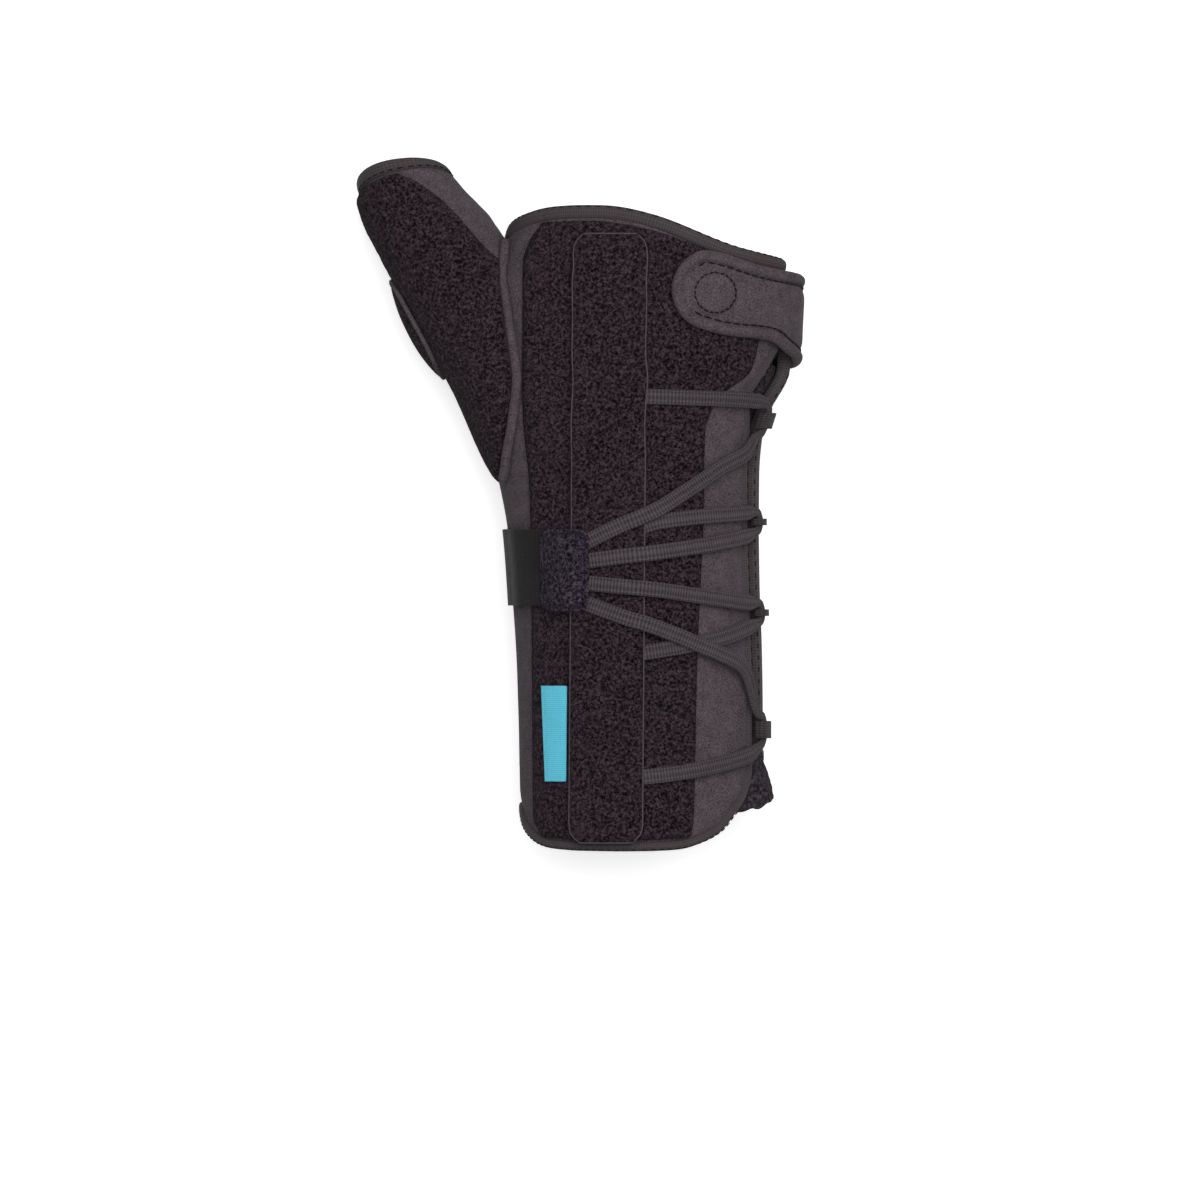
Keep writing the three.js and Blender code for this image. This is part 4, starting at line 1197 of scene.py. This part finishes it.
def place_strap(u, v, up):
    angle, y = strap_spot(u, v, STRAP_TAPE / 2)
    edge = 11 * (1 - abs(2 * v - 1))
    pull = press_at_edge(min(edge, u * 80), 5.0, 1.3)
    crease = 0.25 * noise.noise(Vector((angle * 0.09, y * 0.08, 5)))
    return wrap(angle, y, strap_lift(angle) + STRAP + 0.35 - pull + crease + up)


def make_strap():
    bm = bent_grid(90, 24, place_strap)
    bmesh.ops.remove_doubles(bm, verts=bm.verts[:], dist=0.01)
    piece = piece_from(bm, "hand_strap_pad", KNIT)
    thicken(piece, STRAP - 0.4)
    soften(piece)
    settle(piece, "smooth_cloth", "hand_strap")
    rolled = oval(STRAP_TAPE, STRAP + 1.3)
    tape = bent_tube(170, 14, wrap, strap_outline(STRAP_TAPE / 2, STRAP / 2), rolled)
    settle(piece_from(tape, "hand_strap_tape", KNIT), "smooth_cloth")
    groove = strap_outline(STRAP_TAPE + 0.3, STRAP - 0.15)
    sew("hand_strap_stitches", "smooth_cloth", wrap, groove, 3.0, 2.6, 0.65)


PATCH_X, PATCH_Y, PATCH_RADIUS = 32.9, 173.1, 7.2


def place_patch(u, v, up):
    turn = u * 2 * math.pi
    radius = PATCH_RADIUS * v
    dome = 1.4 - 1.1 * v**9 - 0.5 * math.exp(-(((v - 0.86) / 0.05) ** 2))
    x, y = PATCH_X + radius * math.cos(turn), PATCH_Y + radius * math.sin(turn)
    return on_back(x, y, LACE_LOW + STRAP + dome + up)


def patch_ring(t):
    turn = t * 2 * math.pi
    x, y = PATCH_X + 6.2 * math.cos(turn), PATCH_Y + 6.2 * math.sin(turn)
    return angle_at(x, y, LACE_LOW + STRAP), y, LACE_LOW + STRAP + 0.8


def make_patch():
    bm = bent_grid(56, 16, place_patch)
    bmesh.ops.remove_doubles(bm, verts=bm.verts[:], dist=0.01)
    piece = piece_from(bm, "round_patch", KNIT)
    thicken(piece, 0.6)
    soften(piece)
    settle(piece, "smooth_cloth", "strap_patch")
    sew("round_patch_stitches", "smooth_cloth", wrap, patch_ring, 1.8, 1.75, 0.7, zigzag=9)


make_strap()
make_patch()

# %% [markdown]
# ## Pull tab and label
#
# A black webbing tab comes round the thumb side and carries a soft end piece, into which the laces are
# sewn: a pull on it closes the splint. Both are flat woven pieces, so each is a bent panel with
# a thickness; the end piece has rounded corners and a zigzag seam round it. The small blue label is bare.

# %% The pull tab
TAB_HIGH, TAB_START, TAB_UNDER = 100, -19.2, 216
TAB_END_RIGHT, TAB_END_THICK, WEBBING_THICK = -5.9, 2.6, 1.3


def place_tab(u, v, up):
    y = mix(TAB_END_LOW + 1.8, TAB_HIGH, v)
    angle = mix(angle_at(TAB_START, y, PILE_HIGH), TAB_UNDER, u)
    low = mix(PILE_HIGH + 0.3, 0.3, ramp(angle, 148, 166))
    return wrap(angle, y, low + WEBBING_THICK + up)


def tab_end_lift(x):
    return mix(PILE_HIGH + 0.3, LACE_HIGH, ramp(x, TAB_END_LEFT, POCKET_LEFT[0]))


def place_tab_end(u, v, up):
    wide, tall = TAB_END_RIGHT - TAB_END_LEFT, TAB_HIGH - TAB_END_LOW
    near_side, near_end = min(u, 1 - u) * wide, min(v, 1 - v) * tall
    x = mix(TAB_END_LEFT, TAB_END_RIGHT, u)
    y = mix(TAB_END_LOW, TAB_HIGH, v)
    corner = 0.8 * (1 - ramp(near_side, 0, 3.2)) * (1 - ramp(near_end, 0, 3.2))
    x += corner * (1 if u < 0.5 else -1)
    y += corner * (1 if v < 0.5 else -1)
    pull = press_at_edge(min(near_side, near_end), 2.6, 0.9)
    seam = 0.3 * math.exp(-(((min(near_side, near_end) - 2.0) / 0.5) ** 2))
    rough = loops_at(Vector((x, y, 31)), 1.0, 0.25)
    return on_back(x, y, tab_end_lift(x) + TAB_END_THICK - pull - seam + rough + up)


def tab_end_outline(inset):
    left, right = TAB_END_LEFT + inset, TAB_END_RIGHT - inset
    low, high = TAB_END_LOW + inset, TAB_HIGH - inset
    corners = [(left, low), (right, low), (right, high), (left, high)]
    spots = []
    for (ax, ay), (bx, by) in zip(corners, corners[1:] + corners[:1]):
        spots += [(mix(ax, bx, s), mix(ay, by, s)) for s in (0.08, 0.3, 0.5, 0.7, 0.92)]
    return smooth_route(spots, closed=True)


def tab_end_diagonal(rising):
    """A straight seam from corner to corner of the end piece."""
    ends = [(TAB_END_LEFT + 3.2, TAB_END_LOW + 3.6), (TAB_END_RIGHT - 3.2, TAB_HIGH - 3.6)]
    if not rising:
        ends = [(ends[0][0], ends[1][1]), (ends[1][0], ends[0][1])]
    return lambda t: (mix(ends[0][0], ends[1][0], t), mix(ends[0][1], ends[1][1], t), -0.05)


def over_tab_end(x, y, lift):
    """The end piece's face as a form of its own, so that its seams follow x and y."""
    return on_back(x, y, tab_end_lift(x) + TAB_END_THICK + lift)


def make_tab():
    tab = piece_from(bent_grid(60, 24, place_tab), "pull_tab_webbing", WEBBING)
    thicken(tab, WEBBING_THICK)
    settle(tab, "webbing", "pull_tab")
    end = piece_from(bent_grid(34, 52, place_tab_end), "pull_tab_pad", END_CLOTH)
    thicken(end, TAB_END_THICK - 0.5)
    settle(end, "hook_cloth", "pull_tab_end")
    for name, inset in (("pull_tab_seam", 1.3), ("pull_tab_inner_seam", 2.4)):
        seam = at_lift(tab_end_outline(inset), -0.35)
        sew(name, "hook_cloth", over_tab_end, seam, 1.5, 0.95, 0.36, BLUE_THREAD, zigzag=38)
    for name, rising in (("pull_tab_cross_seam", True), ("pull_tab_back_cross_seam", False)):
        sew(name, "hook_cloth", over_tab_end, tab_end_diagonal(rising), 1.6, 1.5, 0.4, BLUE_THREAD, zigzag=24)


make_tab()

# %% The label
LABEL_LEFT, LABEL_RIGHT, LABEL_LOW, LABEL_HIGH = -20.8, -13.1, 22.0, 51.6


def place_label(u, v, up):
    y = mix(LABEL_LOW, LABEL_HIGH, v)
    x = mix(mix(LABEL_LEFT + 1.2, LABEL_LEFT, v), mix(LABEL_RIGHT, LABEL_RIGHT + 0.3, v), u)
    wave = 0.12 * math.sin(v * 9) + 0.1 * noise.noise(Vector((x * 0.3, y * 0.2, 2)))
    wide, tall = LABEL_RIGHT - LABEL_LEFT, LABEL_HIGH - LABEL_LOW
    from_edge = min(min(u, 1 - u) * wide, min(v, 1 - v) * tall)
    border = 0.12 * math.exp(-(((from_edge - 0.7) / 0.18) ** 2))
    return on_back(x, y, PILE_HIGH + 1.0 + wave - border + up)


def make_label():
    piece = piece_from(bent_grid(26, 70, place_label), "blue_label_cloth", LABEL_WEAVE)
    thicken(piece, 0.7)
    settle(piece, "blue_weave", "woven_label")


make_label()

# %% [markdown]
# ## Laces and their guides
#
# Four flat laces leave the end piece, cross to the little-finger side, turn in webbing loops on the
# palm-side edge, and come back to the pocket's seam. They are sewn or held all along, so they are not
# free cords. Each is a flat tube along one smooth route, squeezed where it turns, with lengthwise ridges
# in its section and the fine picks of its knit in its material.

# %% Lace routes
GUIDE_APEX, LACE_WIDTH, LACE_THICK, LACE_PINCH, DEGREE_WIDTH = 20, 4.8, 1.4, 0.55, 0.6
GUIDE_TAIL, GUIDE_FOOT, GUIDE_SHOULDER, GUIDE_THICK = 9, 13.4, 16.4, 0.7
LACE_TURN = TAPE + 0.8 + GUIDE_THICK
Lace = namedtuple("Lace", "out back guide turn")
LACES = [
    Lace([(-7.2, 95.0), (15.5, 106.6), (34.1, 118.8), (42.2, 123.6)],
         [(9, 141.1), (28.5, 140.5), (42.5, 139.9)], 133.6, 5.6),
    Lace([(-7.2, 89.9), (11.2, 92.4), (28.5, 94.9), (41.5, 97.6)],
         [(9, 100.2), (15.9, 102.3), (28.5, 103.9), (41.5, 105.0)], 102.3, 3.1),
    Lace([(-7.2, 83.6), (11.2, 81.7), (28.5, 79.3), (41.5, 77.3)],
         [(9, 61.6), (27.1, 64.6), (35.0, 66.4), (42.5, 69.4)], 74.2, 3.1),
    Lace([(-7.2, 77.9), (11.2, 70.9), (26.0, 64.8), (41.5, 56.0)],
         [(9, 23.2), (25.7, 25.4), (42.5, 29.8)], 38.0, 6.2),
]
CROSSING_LACE, CROSSING_X = 3, 30


def lace_route(lace, number):
    spots = [(angle_at(x, y, LACE_LOW) * DEGREE_WIDTH, y) for x, y in lace.out]
    turn_angle = math.degrees(lace.turn / TURN_RADIUS)
    side = math.copysign(1, lace.out[-1][1] - lace.guide)
    for step in (80, 40, 0, -40, -80):
        sweep = math.radians(step)
        angle = GUIDE_APEX + turn_angle * (1 - math.cos(sweep))
        spots.append((angle * DEGREE_WIDTH, lace.guide + side * math.sin(sweep) * lace.turn))
    apex = Vector(spots[len(lace.out) + 2])
    spots += [(angle_at(x, y, LACE_LOW) * DEGREE_WIDTH, y) for x, y in reversed(lace.back)]
    route = smooth_route(spots)
    apex_share = min((k / 200 for k in range(201)), key=lambda t: (route(t) - apex).length)

    def at(t):
        across, y = route(t)
        angle = across / DEGREE_WIDTH
        x = wrap(angle, y, LACE_LOW).x
        lift = low = mix(LACE_TURN, LACE_LOW, ramp(angle, GUIDE_APEX + 6, 38))
        if t < apex_share:
            lift = mix(LACE_HIGH, low, ramp(x, POCKET_RIGHT[1] + 1, POCKET_RIGHT[1] + 10))
            if number == CROSSING_LACE:
                lift += (1 - ramp(abs(x - CROSSING_X), 8, 14)) * (LACE_THICK + 0.5)
        return angle, y, lift + LACE_THICK / 2

    return at


# %% The laces
def lace_section(route):
    """A flat oval with five lengthwise ridges, narrower where the lace turns in its guide."""

    def section(turn, t):
        width = LACE_WIDTH * mix(LACE_PINCH, 1, ramp(route(t)[0], GUIDE_APEX + 3, 36))
        side = signed_power(math.cos(turn), 0.7)
        ridges = 1 + 0.1 * math.cos(5 * math.pi * side)
        return width / 2 * side, LACE_THICK / 2 * signed_power(math.sin(turn), 0.45) * ridges

    return section


def make_laces():
    for number, lace in enumerate(LACES):
        route = lace_route(lace, number)
        bm = bent_tube(150, 40, wrap, route, lace_section(route))
        piece = piece_from(bm, f"lace_{number + 1}_knit", LACE_KNIT)
        settle(piece, "lace_knit", f"lace_{number + 1}")
        print("  length, mm:", round(length_of(wrap, route), 1))


make_laces()


# %% The webbing loops
def guide_loop(lace):
    """The loop's own line as angle and height: under the lace, round the fold, and back over it."""
    half_lace = LACE_WIDTH * LACE_PINCH / 2
    fold_at = half_lace + 0.3 + 0.22 * lace.turn
    half = math.sqrt((lace.turn - half_lace) ** 2 - (lace.turn - fold_at) ** 2) - 0.3
    fold = GUIDE_APEX + math.degrees((fold_at + GUIDE_THICK / 2) / TURN_RADIUS)
    under = TAPE + 0.5 + GUIDE_THICK / 2
    over = LACE_TURN + LACE_THICK + 0.3 + GUIDE_THICK / 2
    line = [(GUIDE_TAIL, under), (GUIDE_FOOT, under), (GUIDE_SHOULDER, under), (fold - 1, under),
            (fold, mix(under, over, 0.5)), (fold - 1, over), (GUIDE_SHOULDER + 1.4, over),
            (GUIDE_SHOULDER - 0.4, over - 0.5), (GUIDE_FOOT + 0.4, under + 0.9), (GUIDE_TAIL, under + 0.5)]
    return smooth_route(line), half


def make_guides():
    for number, lace in enumerate(LACES):
        route, half = guide_loop(lace)

        def place(u, v, up, route=route, half=half, lace=lace):
            angle, lift = route(u)
            return wrap(angle, lace.guide + (2 * v - 1) * half * 0.8, lift + up)

        piece = piece_from(bent_grid(56, 8, place), f"lace_guide_{number + 1}_webbing", GUIDE_CLOTH)
        thicken(piece, GUIDE_THICK)
        piece.modifiers["thickness"].offset = 0
        settle(piece, "webbing", f"lace_guide_{number + 1}")


make_guides()

# %% [markdown]
# ## Floor, light and camera
#
# The photograph looks straight down on the back of the splint, on white, in soft light that falls off
# towards its left side. One large softbox over the splint does most of it, with a weaker one to the right,
# a faint one to the left and a dim surround. A floor that glows a little stays white under them, and
# throws no light back. A long lens keeps the tube's height from spreading its outline. The frame is
# square: 372 mm of floor, with the splint where the photograph has it.


# %% Stage
def make_floor():
    bm = bmesh.new()
    bmesh.ops.create_grid(bm, x_segments=1, y_segments=1, size=3)
    mesh = bpy.data.meshes.new("floor")
    bm.to_mesh(mesh)
    bm.free()
    floor = bpy.data.objects.new("floor", mesh)
    bpy.context.scene.collection.objects.link(floor)
    material = bpy.data.materials.new("pale_floor")
    material.use_nodes = True
    surface = material.node_tree.nodes["Principled BSDF"]
    surface.inputs["Base Color"].default_value = (0.92, 0.92, 0.92, 1)
    surface.inputs["Roughness"].default_value = 0.9
    surface.inputs["Emission Color"].default_value = (1, 1, 1, 1)
    surface.inputs["Emission Strength"].default_value = 0.55
    mesh.materials.append(material)
    floor.visible_diffuse = False


Softbox = namedtuple("Softbox", "name place size power")
SOFTBOXES = [
    Softbox("softbox_over", (0.1, 0.25, 1.6), 1.2, 20),
    Softbox("softbox_left", (-0.9, 0.7, 1.5), 1.2, 1),
    Softbox("softbox_right", (0.9, 0.3, 1.6), 1.2, 6),
]


def make_softbox(softbox):
    """A square light at its place, turned to the splint."""
    light = bpy.data.lights.new(softbox.name, "AREA")
    light.size = softbox.size
    light.energy = softbox.power
    lamp = bpy.data.objects.new(softbox.name, light)
    lamp.location = softbox.place
    lamp.rotation_euler = (-Vector(softbox.place)).to_track_quat("-Z", "Y").to_euler()
    bpy.context.scene.collection.objects.link(lamp)


def make_surround():
    world = bpy.data.worlds.new("surround")
    world.use_nodes = True
    world.node_tree.nodes["Background"].inputs["Color"].default_value = (1, 1, 1, 1)
    world.node_tree.nodes["Background"].inputs["Strength"].default_value = 0.22
    bpy.context.scene.world = world


FRAME_WIDTH, MEASURED_LEVEL = 0.372, 0.03
PICTURE_SCALE = 0.31
PICTURE_MIDDLE = Vector((600, 600))
DRAWING_ZERO_IN_PICTURE = Vector((608, 852))


def make_camera():
    """A long lens straight above the place that the middle of the photograph shows."""
    data = bpy.data.cameras.new("camera")
    data.lens = 800
    data.sensor_width = 36
    data.clip_end = 50
    distance = FRAME_WIDTH / 2 / math.tan(data.angle / 2) + MEASURED_LEVEL
    right, down = (PICTURE_MIDDLE - DRAWING_ZERO_IN_PICTURE) * PICTURE_SCALE
    middle = TO_FRAME @ Vector((right, -down, 0))
    camera = bpy.data.objects.new("camera", data)
    camera.location = (middle.x, middle.y, distance)
    bpy.context.scene.collection.objects.link(camera)
    bpy.context.scene.camera = camera
    print("camera height, m:", round(distance, 2))


make_floor()
for softbox in SOFTBOXES:
    make_softbox(softbox)
make_surround()
make_camera()
bpy.context.scene.view_settings.view_transform = "Standard"
